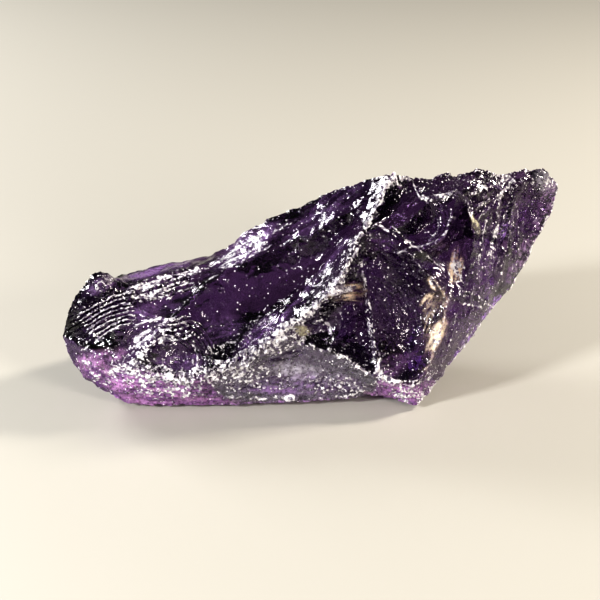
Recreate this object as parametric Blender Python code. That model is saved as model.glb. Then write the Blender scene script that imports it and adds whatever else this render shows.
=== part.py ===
"""Rough amethyst: one broken piece of clear purple quartz that lies on its flat underside.

The stone grew and broke as one piece, so it is one solid. Its skin is a set of fracture faces that meet
in sharp ridges. Two relief sheets over one outline draw it: the front sheet is the side towards the
viewer, and the back sheet closes it behind and below. A corner of the front is written as it appears in
a front view, in pixels of that view, with its depth in millimetres; a corner that the view hides is
written as a plain point in millimetres. Each fracture face is a thin-plate spline through its rim and a
few inner points, so a face dishes smoothly and breaks sharply at its ridges.

Frame: +X along the stone, +Y away from the viewer, +Z up, with the origin at the middle of its base.
"""

import math

import bmesh
import bpy
import numpy as np
from mathutils.geometry import delaunay_2d_cdt

# Driving dimensions, in millimetres unless the name says otherwise.
STONE_LENGTH = 45.0
MM = 0.001

# The front view: the outline is 496 pixels long in a picture of 600 by 600.
OUTLINE_LENGTH_PX = 496.0
PX_PER_MM = OUTLINE_LENGTH_PX / STONE_LENGTH
PICTURE_CENTRE_PX = 300.0
VIEW_ELEVATION = math.radians(25.0)
VIEW_DISTANCE = 150.0
VIEW_AIM = np.array([-0.9, 0.0, 7.0])

# Spacing of the mesh, in pixels of the front view.
RIDGE_STEP_PX = 7.5
FRONT_GRID_PX = 8.0
BACK_GRID_PX = 12.5
RIDGE_CLEARANCE = 0.62

# How far a ridge wanders between two corners.
RIDGE_WANDER_PX = 0.9
RIDGE_WANDER_DEPTH = 0.0009
WANDER_SEED = 7

# Middle of the finished stone's box in the drawing's own frame.
BASE_CENTRE = (0.6227, 0.5923, 0.0)

FORWARD = np.array([0.0, math.cos(VIEW_ELEVATION), -math.sin(VIEW_ELEVATION)])
RIGHT = np.array([1.0, 0.0, 0.0])
UP = np.array([0.0, math.sin(VIEW_ELEVATION), math.cos(VIEW_ELEVATION)])
EYE = VIEW_AIM - FORWARD * VIEW_DISTANCE

# Corners of the outline over the top, left to right: pixel across, pixel down, depth.
TOP_OUTLINE = {
    "left_end": (62, 335, -5.2),
    "knob_1": (68, 312, -5.0),
    "knob_2": (78, 292, -4.6),
    "knob_3": (90, 276, -4.0),
    "knob_top": (103, 271, -3.2),
    "knob_notch": (114, 277, -1.6),
    "shelf_back_1": (124, 274, 1.6),
    "shelf_back_2": (165, 264, 3.2),
    "shelf_back_3": (208, 256, 3.8),
    "brow_1": (226, 249, 3.0),
    "brow_2": (245, 232, 2.2),
    "brow_3": (270, 219, 1.7),
    "brow_4": (300, 207, 1.3),
    "brow_5": (330, 192, 0.9),
    "brow_6": (353, 185, 0.3),
    "brow_7": (375, 178, -0.4),
    "crest_top": (393, 173, -1.2),
    "saw_1": (412, 178, 0.3),
    "saw_2": (430, 179, 1.5),
    "saw_3": (447, 172, 2.2),
    "saw_4": (456, 177, 3.1),
    "saw_5": (477, 170, 3.8),
    "saw_6": (490, 171, 4.3),
    "saw_7": (498, 176, 5.2),
    "cap_1": (522, 170, 6.4),
    "cap_2": (542, 169, 7.2),
    "cap_3": (552, 177, 7.8),
    "right_end": (558, 187, 8.0),
}

# Corners of the outline down the right side and along the base, right to left.
LOW_OUTLINE = {
    "heel_1": (554, 205, 7.3),
    "heel_2": (544, 226, 6.5),
    "heel_3": (534, 243, 5.9),
    "heel_4": (525, 263, 5.1),
    "heel_5": (511, 287, 4.0),
    "heel_6": (493, 307, 2.4),
    "heel_7": (471, 338, -0.3),
    "heel_8": (452, 362, -2.6),
    "heel_9": (438, 380, -4.8),
    "heel_10": (428, 394, -6.6),
    "foot": (416, 406, -7.8),
    "rim_1": (396, 399, -7.2),
    "rim_2": (372, 395, -6.8),
    "rim_3": (345, 399, -7.0),
    "rim_4": (300, 402, -7.3),
    "rim_5": (262, 403, -7.4),
    "rim_6": (235, 405, -7.6),
    "rim_7": (190, 405, -7.6),
    "rim_8": (150, 405, -7.6),
    "rim_9": (128, 403, -7.5),
    "toe_1": (106, 392, -7.4),
    "toe_2": (86, 380, -7.0),
    "toe_3": (71, 358, -6.2),
}

# Corners inside the outline on the front.
FRONT_CORNERS = {
    # The long bright crest, from the top down to the toe.
    "crest_1": (383, 192, -2.4),
    "crest_2": (374, 212, -3.7),
    "crest_3": (362, 232, -4.8),
    "crest_4": (352, 252, -5.8),
    "crest_5": (343, 272, -6.7),
    "crest_6": (334, 290, -7.4),
    "crest_7": (318, 304, -7.9),
    "crest_8": (300, 317, -8.3),
    "crest_9": (283, 330, -8.7),
    "crest_10": (266, 344, -9.0),
    "crest_11": (248, 357, -9.1),
    "crest_12": (228, 366, -9.1),
    "crest_13": (205, 373, -9.1),
    "crest_14": (186, 380, -9.0),
    "crest_15": (168, 377, -9.0),
    "crest_16": (150, 370, -8.9),
    "crest_17": (132, 366, -8.7),
    "crest_18": (112, 368, -8.3),
    # The apron under the crest, and the nook between them.
    "apron_1": (300, 344, -8.0),
    "apron_2": (330, 351, -8.1),
    "apron_3": (350, 361, -8.2),
    "apron_4": (366, 372, -8.3),
    "apron_5": (380, 377, -8.4),
    "apron_6": (398, 383, -8.5),
    "apron_7": (414, 384, -8.2),
    "apron_8": (428, 379, -7.2),
    "apron_end": (377, 387, -7.8),
    "toe_end": (216, 390, -8.2),
    "nook_1": (340, 330, -6.8),
    "nook_2": (343, 306, -6.2),
    # The seam between the two dark hollows.
    "seam_1": (362, 262, -5.0),
    "seam_2": (367, 290, -5.6),
    "seam_3": (371, 318, -6.3),
    "seam_4": (375, 347, -7.2),
    # The two scoops beside the crest top.
    "scoop_1": (420, 189, -0.9),
    "scoop_2": (427, 203, -2.1),
    "scoop_3": (408, 222, -3.6),
    "scoop_4": (385, 233, -4.3),
    "oval_1": (441, 198, -1.6),
    "oval_2": (455, 194, -1.2),
    "oval_3": (454, 212, -2.5),
    "oval_4": (447, 230, -3.6),
    "oval_5": (437, 243, -4.3),
    "oval_6": (420, 251, -4.8),
    "oval_7": (404, 250, -4.9),
    "oval_8": (394, 240, -4.6),
    # The crack line, the golden ridge and the ledge over it.
    "crack_1": (420, 266, -4.8),
    "crack_2": (437, 284, -4.9),
    "gold_1": (447, 299, -4.7),
    "gold_2": (443, 325, -5.8),
    "gold_3": (436, 350, -6.8),
    "gold_4": (426, 370, -7.7),
    "ledge_1": (437, 260, -2.4),
    "ledge_2": (455, 264, -1.5),
    "knot": (459, 303, -3.6),
    # The fluted flank.
    "flute_a1": (467, 197, 0.6),
    "flute_a2": (471, 218, -0.4),
    "flute_a3": (474, 240, -1.0),
    "flute_a4": (468, 275, -2.2),
    "flute_b1": (487, 187, 2.6),
    "flute_b2": (485, 222, 1.3),
    "flute_b3": (480, 262, -0.6),
    "flute_b4": (471, 305, -2.6),
    "flute_c1": (501, 190, 3.7),
    "flute_c2": (497, 228, 2.4),
    "flute_c3": (491, 268, 0.6),
    "flute_c4": (482, 308, -1.2),
    "flute_d1": (515, 193, 4.6),
    "flute_d2": (510, 220, 3.7),
    "flute_d3": (508, 250, 2.6),
    "flute_d4": (501, 278, 1.6),
    "cap_low_1": (535, 187, 5.8),
    "cap_low_2": (548, 191, 6.8),
    # The striped face, the knob and the shelf at the left end.
    "stripe_1": (80, 347, -7.0),
    "stripe_2": (100, 353, -7.7),
    "stripe_3": (118, 352, -8.2),
    "stripe_4": (126, 330, -7.6),
    "stripe_5": (131, 306, -6.2),
    "knob_low_1": (82, 306, -6.0),
    "knob_low_2": (99, 297, -5.6),
    "knob_low_3": (115, 289, -4.6),
    "shelf_1": (128, 285, -3.0),
    "shelf_2": (165, 275, -1.2),
    "shelf_3": (198, 266, -0.2),
    "shelf_4": (217, 261, 0.5),
    "lip_1": (132, 293, -4.8),
    "lip_2": (150, 298, -5.0),
    "lip_3": (168, 299, -4.7),
    "lip_4": (190, 288, -3.2),
    "lip_5": (208, 275, -1.8),
    # The white band and the small round scoop above the toe.
    "band_1": (148, 345, -8.5),
    "band_2": (160, 332, -8.0),
    "band_3": (172, 320, -7.5),
    "band_4": (195, 299, -5.8),
    "band_5": (217, 278, -3.4),
    "notch_1": (152, 315, -6.9),
    "bowl_1": (150, 356, -8.8),
    "bowl_2": (182, 328, -7.8),
    "bowl_3": (200, 339, -7.9),
    "bowl_4": (212, 356, -8.4),
    # The frosted patch and the rough slope over the big scoop.
    "patch_1": (226, 268, -1.4),
    "patch_2": (242, 262, -1.6),
    "patch_3": (260, 247, -1.0),
    "patch_4": (273, 233, -0.3),
    "slope_1": (292, 240, -1.4),
    "slope_2": (316, 231, -1.9),
    "slope_3": (341, 216, -1.9),
    "slope_4": (365, 204, -1.7),
}

# Corners that the front view hides: x, y and z in millimetres.
BACK_CORNERS = {
    "sole_1": (-16.0, -5.6, 0.0),
    "sole_2": (-7.0, -5.8, 0.0),
    "sole_3": (2.0, -4.9, 0.0),
    "sole_4": (5.4, -4.0, 0.0),
    "sole_5": (8.3, -5.4, 0.0),
    "sole_6": (9.2, -2.8, 0.0),
    "sole_7": (7.6, 1.2, 0.0),
    "sole_8": (3.0, 4.6, 0.0),
    "sole_9": (-6.0, 5.2, 0.0),
    "sole_10": (-13.0, 3.4, 0.0),
    "sole_11": (-17.2, -0.6, 0.0),
    "sole_12": (-17.6, -4.4, 0.0),
    "back_1": (-20.0, -1.4, 6.2),
    "back_2": (-16.4, 4.2, 4.2),
    "back_3": (-10.0, 7.4, 4.6),
    "back_4": (-3.0, 8.8, 6.4),
    "back_5": (4.0, 9.2, 8.6),
    "back_6": (11.0, 9.9, 9.8),
    "back_7": (16.6, 10.3, 12.2),
    "back_8": (20.0, 10.0, 14.0),
    "haunch": (14.0, 5.6, 5.6),
}

# Fracture faces of the front: the rim's corners in order, then inner points (pixel, pixel, depth).
FRONT_FACES = {
    "toe": (
        "crest_13 crest_14 crest_15 crest_16 crest_17 crest_18 toe_1 rim_9 rim_8 rim_7 rim_6 toe_end",
        [(150, 388, -8.7), (190, 392, -8.6), (125, 383, -8.5)],
    ),
    "apron": (
        "toe_end crest_13 crest_12 crest_11 crest_10 crest_9 apron_1 apron_2 apron_3 apron_4 apron_5 "
        "apron_end rim_2 rim_3 rim_4 rim_5 rim_6",
        [(255, 380, -8.0), (300, 376, -7.5), (340, 384, -7.5)],
    ),
    "foot_band": (
        "apron_end apron_5 apron_6 apron_7 apron_8 heel_9 heel_10 foot rim_1 rim_2",
        [(405, 393, -8.0)],
    ),
    "nook": (
        "crest_6 crest_7 crest_8 crest_9 apron_1 apron_2 nook_1 nook_2",
        [(324, 322, -6.2), (312, 334, -6.8)],
    ),
    "dark_hollow": (
        "crest_4 crest_5 crest_6 nook_2 nook_1 apron_2 apron_3 apron_4 apron_5 seam_4 seam_3 seam_2 seam_1",
        [(356, 292, -4.2), (357, 325, -5.0), (360, 350, -6.2)],
    ),
    "deep_hollow": (
        "crest_3 scoop_4 oval_8 oval_7 crack_1 crack_2 gold_1 gold_2 gold_3 gold_4 apron_7 apron_6 apron_5 "
        "seam_4 seam_3 seam_2 seam_1 crest_4",
        [(378, 258, -3.6), (398, 290, -3.6), (412, 325, -4.4), (402, 355, -5.8)],
    ),
    "upper_scoop": (
        "crest_top saw_1 scoop_1 scoop_2 scoop_3 scoop_4 crest_3 crest_2 crest_1",
        [(400, 198, -1.0), (389, 216, -2.2)],
    ),
    "oval_scoop": (
        "scoop_2 oval_1 oval_2 oval_3 oval_4 oval_5 oval_6 oval_7 oval_8 scoop_4 scoop_3",
        [(432, 222, -1.8), (416, 236, -2.7)],
    ),
    "saw_slope": (
        "saw_1 saw_2 saw_3 saw_4 saw_5 saw_6 flute_b1 flute_a1 oval_2 oval_1 scoop_2 scoop_1",
        [(445, 186, 0.8), (467, 183, 1.8)],
    ),
    "black_pit": (
        "oval_2 flute_a1 flute_a2 flute_a3 ledge_2 ledge_1 oval_6 oval_5 oval_4 oval_3",
        [(461, 215, 2.0), (457, 240, 1.0), (446, 252, -0.8)],
    ),
    "gold_ledge": (
        "oval_7 oval_6 ledge_1 ledge_2 flute_a3 flute_a4 knot gold_1 crack_2 crack_1",
        [(450, 280, -2.9), (430, 268, -3.4)],
    ),
    "flute_a": ("flute_a1 flute_b1 flute_b2 flute_b3 flute_b4 knot flute_a4 flute_a3 flute_a2", [(478, 240, 0.6)]),
    "flute_b": ("flute_b1 flute_c1 flute_c2 flute_c3 flute_c4 flute_b4 flute_b3 flute_b2", [(489, 240, 1.9)]),
    "flute_c": ("flute_c1 flute_d1 flute_d2 flute_d3 flute_d4 flute_c4 flute_c3 flute_c2", [(502, 240, 3.1)]),
    "cap": (
        "saw_6 saw_7 cap_1 cap_2 cap_3 right_end cap_low_2 cap_low_1 flute_d1 flute_c1 flute_b1",
        [(525, 179, 5.2), (545, 180, 6.6)],
    ),
    "cheek": (
        "flute_d1 cap_low_1 cap_low_2 right_end heel_1 heel_2 heel_3 heel_4 heel_5 heel_6 flute_c4 flute_d4 "
        "flute_d3 flute_d2",
        [(530, 210, 6.4), (522, 240, 5.1), (508, 285, 3.0)],
    ),
    "heel_face": (
        "knot flute_b4 flute_c4 heel_6 heel_7 heel_8 heel_9 apron_8 apron_7 gold_4 gold_3 gold_2 gold_1",
        [(468, 322, -2.6), (450, 350, -4.6)],
    ),
    "striped_face": (
        "left_end knob_1 knob_low_1 knob_low_2 knob_low_3 shelf_1 lip_1 stripe_5 stripe_4 stripe_3 stripe_2 "
        "stripe_1",
        [(95, 325, -6.3), (112, 315, -5.7)],
    ),
    "knob": (
        "knob_1 knob_2 knob_3 knob_top knob_notch shelf_1 knob_low_3 knob_low_2 knob_low_1",
        [(95, 285, -5.4), (108, 281, -4.4)],
    ),
    "shelf": (
        "knob_notch shelf_back_1 shelf_back_2 shelf_back_3 brow_1 shelf_4 shelf_3 shelf_2 shelf_1",
        [],
    ),
    "lip": ("shelf_1 shelf_2 shelf_3 shelf_4 lip_5 lip_4 lip_3 lip_2 lip_1", [(160, 287, -3.6)]),
    "window": (
        "lip_1 lip_2 lip_3 lip_4 lip_5 shelf_4 patch_1 band_5 band_4 band_3 notch_1 stripe_5",
        [(160, 307, -5.3), (190, 296, -4.1)],
    ),
    "cheek_left": (
        "stripe_5 notch_1 band_3 band_2 band_1 crest_17 stripe_3 stripe_4",
        [(140, 335, -7.4), (130, 350, -8.0)],
    ),
    "heel_left": ("left_end stripe_1 stripe_2 stripe_3 crest_17 crest_18 toe_1 toe_2 toe_3", [(95, 366, -8.0)]),
    "band": ("crest_17 band_1 band_2 bowl_1 crest_16", []),
    "bowl": (
        "crest_16 bowl_1 band_2 bowl_2 bowl_3 bowl_4 crest_13 crest_14 crest_15",
        [(177, 352, -7.6), (192, 362, -8.0)],
    ),
    "big_scoop": (
        "band_2 band_3 band_4 band_5 patch_1 patch_2 patch_3 patch_4 slope_1 slope_2 slope_3 slope_4 crest_1 "
        "crest_2 crest_3 crest_4 crest_5 crest_6 crest_7 crest_8 crest_9 crest_10 crest_11 crest_12 crest_13 "
        "bowl_4 bowl_3 bowl_2",
        [
            (350, 225, -2.0),
            (330, 262, -3.4),
            (300, 294, -4.7),
            (268, 322, -6.1),
            (230, 350, -7.7),
            (240, 295, -3.2),
            (290, 265, -2.0),
            (205, 318, -6.1),
        ],
    ),
    "patch": ("shelf_4 brow_1 brow_2 brow_3 patch_4 patch_3 patch_2 patch_1", [(245, 247, 0.0)]),
    "slope": (
        "brow_3 brow_4 brow_5 brow_6 brow_7 crest_top crest_1 slope_4 slope_3 slope_2 slope_1 patch_4",
        [(310, 218, 0.1), (350, 200, -0.4)],
    ),
}

# Fracture faces of the back: the rim's corners in order, then inner points (x, y, z in millimetres).
BACK_FACES = {
    "sole": (
        "sole_1 sole_2 sole_3 sole_4 sole_5 sole_6 sole_7 sole_8 sole_9 sole_10 sole_11 sole_12",
        [],
    ),
    "sole_rim": (
        "heel_10 foot rim_1 rim_2 rim_3 rim_4 rim_5 rim_6 rim_7 rim_8 rim_9 toe_1 sole_12 sole_1 sole_2 sole_3 "
        "sole_4 sole_5",
        [],
    ),
    "left_under": ("toe_1 toe_2 toe_3 left_end back_1 sole_11 sole_12", [(-19.6, -4.2, 2.6)]),
    "knob_back": (
        "left_end knob_1 knob_2 knob_3 knob_top knob_notch shelf_back_1 back_2 back_1",
        [(-19.6, -1.6, 8.6)],
    ),
    "left_back": ("back_1 back_2 sole_10 sole_11", [(-16.6, 2.0, 2.4)]),
    "shelf_back": ("shelf_back_1 shelf_back_2 shelf_back_3 brow_1 back_4 back_3 back_2", [(-10.0, 5.2, 6.6)]),
    "brow_back": ("brow_1 brow_2 brow_3 brow_4 brow_5 back_5 back_4", [(0.0, 4.8, 11.2)]),
    "crest_back": ("brow_5 brow_6 brow_7 crest_top saw_1 saw_2 saw_3 back_6 back_5", [(8.0, 5.0, 13.2)]),
    "saw_back": ("saw_3 saw_4 saw_5 saw_6 saw_7 cap_1 back_7 back_6", [(14.5, 6.8, 14.0)]),
    "cap_back": ("cap_1 cap_2 cap_3 right_end heel_1 heel_2 back_8 back_7", [(20.5, 8.1, 15.6)]),
    "tip_under": ("back_7 back_8 heel_2 heel_3 heel_4 heel_5 haunch", [(17.0, 6.0, 9.2)]),
    "heel_under": ("haunch heel_5 heel_6 heel_7 heel_8 heel_9 heel_10 sole_5 sole_6 sole_7", [(11.6, 0.6, 2.9)]),
    "flank_right": ("back_5 back_6 back_7 haunch sole_7 sole_8", [(8.8, 6.2, 5.2)]),
    "flank_middle": ("back_4 back_5 sole_8 sole_9", [(-0.4, 6.4, 3.4)]),
    "flank_left": ("back_2 back_3 back_4 sole_9 sole_10", [(-9.4, 5.4, 2.4)]),
}


def seen(across_px, down_px, depth):
    """The point at that depth (+Y, millimetres) on the line of sight through a pixel of the front view."""
    sight = (
        FORWARD * VIEW_DISTANCE
        + RIGHT * (across_px - PICTURE_CENTRE_PX) / PX_PER_MM
        + UP * (PICTURE_CENTRE_PX - down_px) / PX_PER_MM
    )
    return EYE + sight * (depth - EYE[1]) / sight[1]


def to_picture(points):
    """Points as pixels across and down, and as closeness, which is linear over any flat face."""
    offset = np.atleast_2d(points) - EYE
    closeness = VIEW_DISTANCE / (offset @ FORWARD)
    across = PICTURE_CENTRE_PX + PX_PER_MM * (offset @ RIGHT) * closeness
    down = PICTURE_CENTRE_PX - PX_PER_MM * (offset @ UP) * closeness
    return np.column_stack([across, down, closeness])


def from_picture(places):
    """The inverse of to_picture."""
    across, down, closeness = np.asarray(places).T[:, :, None]
    sight = (
        FORWARD * VIEW_DISTANCE
        + RIGHT * (across - PICTURE_CENTRE_PX) / PX_PER_MM
        + UP * (PICTURE_CENTRE_PX - down) / PX_PER_MM
    )
    return EYE + sight / closeness


def corner_places():
    """Every named corner, as its place in the picture."""
    points = {name: seen(*where) for name, where in {**TOP_OUTLINE, **LOW_OUTLINE, **FRONT_CORNERS}.items()}
    points.update({name: np.array(where) for name, where in BACK_CORNERS.items()})
    return {name: to_picture(point)[0] for name, point in points.items()}


def ridge_between(first, second, places):
    """Places along the ridge from one corner to the next, without its last corner.

    The line wanders a little, the same way whichever face asks for it, except where it bounds the sole.
    """
    start, end = (places[name] for name in sorted((first, second)))
    count = max(1, round(float(np.hypot(*(end - start)[:2])) / RIDGE_STEP_PX))
    share = np.arange(count + 1) / count
    line = start + (end - start) * share[:, None]
    if not (first.startswith("sole") and second.startswith("sole")):
        seed = sum(ord(letter) * (i + 1) for i, letter in enumerate("".join(sorted((first, second)))))
        wander = np.random.default_rng(WANDER_SEED + seed).uniform(-1, 1, (count + 1, 3))
        inner = np.sin(math.pi * share)[:, None] > 0.01
        line = line + inner * wander * (RIDGE_WANDER_PX, RIDGE_WANDER_PX, RIDGE_WANDER_DEPTH)
    if first > second:
        line = line[::-1]
    return line[:-1]


def rim_of(loop, places):
    """The closed rim of a face, with points along every ridge."""
    names = loop.split()
    return np.vstack([ridge_between(a, b, places) for a, b in zip(names, names[1:] + names[:1])])


def plate(distance_squared):
    """The thin plate's kernel, r squared times log r."""
    return 0.5 * distance_squared * np.log(distance_squared + 1e-9)


def squared_distances(places, sites):
    """Squared distance from each place to each site, over the picture."""
    offset = places[:, None, :2] - sites[None, :, :2]
    return (offset**2).sum(axis=2)


def thin_plate(sites):
    """A function that bends like a thin plate through the sites and gives closeness at any place."""
    middle = sites[:, :2].mean(axis=0)
    flat = np.column_stack([np.ones(len(sites)), (sites[:, :2] - middle) / PX_PER_MM])
    system = np.block([[plate(squared_distances(sites, sites)), flat], [flat.T, np.zeros((3, 3))]])
    weights = np.linalg.solve(system, np.concatenate([sites[:, 2], np.zeros(3)]))

    def closeness_at(places):
        tilt = np.column_stack([np.ones(len(places)), (places[:, :2] - middle) / PX_PER_MM])
        return plate(squared_distances(places, sites)) @ weights[:-3] + tilt @ weights[-3:]

    return closeness_at


def inside(places, rim):
    """Which places lie inside a closed rim, by counting the rim's crossings."""
    x, y = places[:, :1], places[:, 1:2]
    x0, y0 = rim[:, 0], rim[:, 1]
    x1, y1 = np.roll(x0, -1), np.roll(y0, -1)
    spans = (y0 > y) != (y1 > y)
    rise = np.where(np.abs(y1 - y0) < 1e-12, 1e-12, y1 - y0)
    return (spans & (x < (x1 - x0) * (y - y0) / rise + x0)).sum(axis=1) % 2 == 1


def hexagonal_grid(low, high, step):
    """Places in staggered rows over a box of the picture."""
    rows = np.arange(low[1], high[1], step * math.sqrt(3) / 2)
    columns = np.arange(low[0], high[0], step)
    across, down = np.meshgrid(columns, rows)
    across = across + (np.arange(len(rows)) % 2 * step / 2)[:, None]
    return np.column_stack([across.ravel(), down.ravel()])


def far_from(grid, places, reach):
    """The grid's places that are at least that far from all the others."""
    return grid[squared_distances(grid, places).min(axis=1) > reach**2]


class Sheet:
    """One side of the stone: its places, and the triangles between them."""

    def __init__(self, faces, inner_place, grid_step, places):
        self.places = []
        self.edges = []
        self.known = {}
        outline = rim_of(" ".join([*TOP_OUTLINE, *LOW_OUTLINE]), places)
        outline_loop = [self.index_of(place) for place in outline]
        for loop, inner in faces.values():
            rim = rim_of(loop, places)
            ring = [self.index_of(place) for place in rim]
            self.edges += list(zip(ring, ring[1:] + ring[:1]))
            inner_places = [inner_place(point) for point in inner]
            sites = np.vstack([rim, *inner_places]) if inner_places else rim
            grid = hexagonal_grid(rim.min(axis=0), rim.max(axis=0), grid_step)
            grid = far_from(grid[inside(grid, rim)], rim, grid_step * RIDGE_CLEARANCE)
            closeness = thin_plate(sites)(grid) if len(grid) else np.zeros(0)
            for place in np.column_stack([grid, closeness]):
                self.index_of(place)
        flat = [tuple(place[:2]) for place in self.places]
        _, _, self.triangles, origins, _, _ = delaunay_2d_cdt(flat, self.edges, [outline_loop], 1, 1e-4)
        if any(len(origin) != 1 for origin in origins):
            raise ValueError("two ridges cross or meet away from a corner")
        self.triangles = [[origins[i][0] for i in triangle] for triangle in self.triangles]

    def index_of(self, place):
        """The number of a place, which is added if it is new."""
        key = tuple(np.round(place[:2], 4))
        if key not in self.known:
            self.known[key] = len(self.places)
            self.places.append(np.asarray(place))
        return self.known[key]


def stone_mesh():
    """Both sheets in one mesh, joined along the outline, in metres."""
    places = corner_places()
    front = Sheet(FRONT_FACES, lambda point: to_picture(seen(*point)), FRONT_GRID_PX, places)
    back = Sheet(BACK_FACES, lambda point: to_picture(point), BACK_GRID_PX, places)
    built = bmesh.new()
    for sheet in (front, back):
        points = (from_picture(sheet.places) - BASE_CENTRE) * MM
        corners = [built.verts.new(point) for point in points]
        for triangle in sheet.triangles:
            built.faces.new([corners[i] for i in triangle])
    bmesh.ops.remove_doubles(built, verts=built.verts, dist=1e-6)
    bmesh.ops.delete(built, geom=[v for v in built.verts if not v.link_faces], context="VERTS")
    bmesh.ops.recalc_face_normals(built, faces=built.faces)
    mesh = bpy.data.meshes.new("amethyst")
    built.to_mesh(mesh)
    built.free()
    return mesh


def amethyst_material():
    """Clear, deep purple quartz."""
    material = bpy.data.materials.new("amethyst")
    material.use_nodes = True
    shader = material.node_tree.nodes["Principled BSDF"]
    shader.inputs["Base Color"].default_value = (0.16, 0.06, 0.26, 1.0)
    shader.inputs["Roughness"].default_value = 0.12
    shader.inputs["Metallic"].default_value = 0.0
    shader.inputs["IOR"].default_value = 1.55
    shader.inputs["Transmission Weight"].default_value = 0.6
    return material


def main():
    """Clears the scene and builds the stone."""
    for old in list(bpy.data.objects):
        bpy.data.objects.remove(old)
    stone = bpy.data.objects.new("amethyst", stone_mesh())
    bpy.context.scene.collection.objects.link(stone)
    stone.data.materials.append(amethyst_material())


if __name__ == "__main__":
    main()
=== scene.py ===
"""The looks of a rough amethyst: one broken lump of clear purple quartz.

The stone's skin is the same set of fracture faces as the solid's, on a far finer mesh. Each face then gets
the marks of how it broke: ripples that ring the point where the crack began, hackles that fan out of it,
rough grain and crushed chips. The ridges are chipped and frosted white, haze tints some of the faces, dust
lies over all of them, and the rest is see-through. Light and shade are painted on too: white glints along
the ripples, white specks among the dust, painted shade in the hollows and over the hidden faces, a pink
glow along the thin lower edge, and warm glints in the right-hand hollows.

A corner of the front is written as it appears in the front view, in pixels, with its depth in millimetres;
a corner that the view hides is a plain point in millimetres. Millimetres become metres in the mesh alone.
"""

import itertools
import logging
import math
from dataclasses import dataclass, field
from enum import Enum, IntEnum
from typing import Any, Callable

import bpy
import numpy as np
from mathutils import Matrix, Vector
from mathutils.geometry import delaunay_2d_cdt

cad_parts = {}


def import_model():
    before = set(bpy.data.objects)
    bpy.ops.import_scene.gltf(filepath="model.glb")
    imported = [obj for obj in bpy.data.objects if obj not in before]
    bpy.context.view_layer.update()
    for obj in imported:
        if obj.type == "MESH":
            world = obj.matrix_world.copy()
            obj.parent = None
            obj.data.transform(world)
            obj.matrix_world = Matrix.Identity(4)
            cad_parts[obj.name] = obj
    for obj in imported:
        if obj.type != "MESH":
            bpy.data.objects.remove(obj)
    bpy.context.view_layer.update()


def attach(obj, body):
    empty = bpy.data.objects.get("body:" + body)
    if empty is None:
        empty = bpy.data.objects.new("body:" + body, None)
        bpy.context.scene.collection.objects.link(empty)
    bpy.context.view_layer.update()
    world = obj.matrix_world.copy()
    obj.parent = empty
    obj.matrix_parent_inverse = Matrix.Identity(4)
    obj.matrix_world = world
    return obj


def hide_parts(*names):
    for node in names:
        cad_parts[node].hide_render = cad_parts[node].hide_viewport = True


Array = np.ndarray
Pair = tuple[float, float]
Corner = tuple[float, float, float]
Colour = tuple[float, float, float]
Socket = bpy.types.NodeSocket
Faces = dict[str, tuple[str, list[Corner]]]
Plate = Callable[[Array], Array]

MM = 0.001

# Small numbers that stand in for nothing: to divide by, and to take the logarithm of.
NEARLY_ZERO = 1e-12
LEAST_SQUARE = 1e-9
LEAST_DIVISOR = 1e-6

# Two sheets' places are one if they agree to a step: steps to a pixel across and down, and to 1 of closeness.
WELD_STEPS = (1e3, 1e3, 1e6)

# What the triangulation keeps: the triangles inside the outline.
INSIDE_ONLY = 1

# How much dust, with its painted glint specks, the hidden faces have.
HIDDEN_DUST_AND_GLINTS = 0.4

log = logging.getLogger("amethyst")


@dataclass(frozen=True)
class FrontView:
    """The front view: where its camera stands, and how its pixels become millimetres."""

    stone_length: float = 45.0
    outline_px: float = 496.0
    picture_px: float = 600.0
    elevation: float = math.radians(25.0)
    distance: float = 150.0
    aim: Corner = (-0.9, 0.0, 7.0)
    base_centre: Corner = (0.6227, 0.5923, 0.0)

    @property
    def px_per_mm(self) -> float:
        """Pixels to a millimetre at the aim."""
        return self.outline_px / self.stone_length

    @property
    def forward(self) -> Array:
        """The direction in which the camera looks."""
        return np.array([0.0, math.cos(self.elevation), -math.sin(self.elevation)])

    @property
    def up(self) -> Array:
        """The direction that is up in the picture."""
        return np.array([0.0, math.sin(self.elevation), math.cos(self.elevation)])

    @property
    def eye(self) -> Array:
        """The camera's place in the drawing's frame, in millimetres."""
        return np.array(self.aim) - self.forward * self.distance

    def sight(self, across: Array, down: Array) -> Array:
        """Lines of sight: forward by the distance, plus right and up by the pixel's offset in millimetres.

        Args:
            across: pixels across, a column.
            down: pixels down, a column.
        Returns:
            One vector for each pixel, which reaches the plane through the aim.
        """
        half = self.picture_px / 2
        right = np.array([1.0, 0.0, 0.0])
        ahead = self.forward * self.distance
        return ahead + right * (across - half) / self.px_per_mm + self.up * (half - down) / self.px_per_mm

    def seen(self, across: float, down: float, depth: float) -> Array:
        """The point at that depth on the line of sight through a pixel."""
        sight = self.sight(across, down)
        return self.eye + sight * (depth - self.eye[1]) / sight[1]

    def to_picture(self, points: Array) -> Array:
        """Points as pixels across and down, and as closeness: the aim's distance over the point's own.

        Args:
            points: places in millimetres, one to a row.
        Returns:
            Three numbers for each point, one point to a row.
        """
        offset = np.atleast_2d(points) - self.eye
        closeness = self.distance / (offset @ self.forward)
        across = self.picture_px / 2 + self.px_per_mm * offset[:, 0] * closeness
        down = self.picture_px / 2 - self.px_per_mm * (offset @ self.up) * closeness
        return np.column_stack([across, down, closeness])

    def seen_in_picture(self, seen: Corner) -> Array:
        """The place in the picture of a point that is written as it is seen."""
        return self.to_picture(self.seen(*seen))

    def from_picture(self, places: Array) -> Array:
        """The inverse of to_picture."""
        across, down, closeness = np.asarray(places).T[:, :, None]
        return self.eye + self.sight(across, down) / closeness


VIEW = FrontView()

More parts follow.
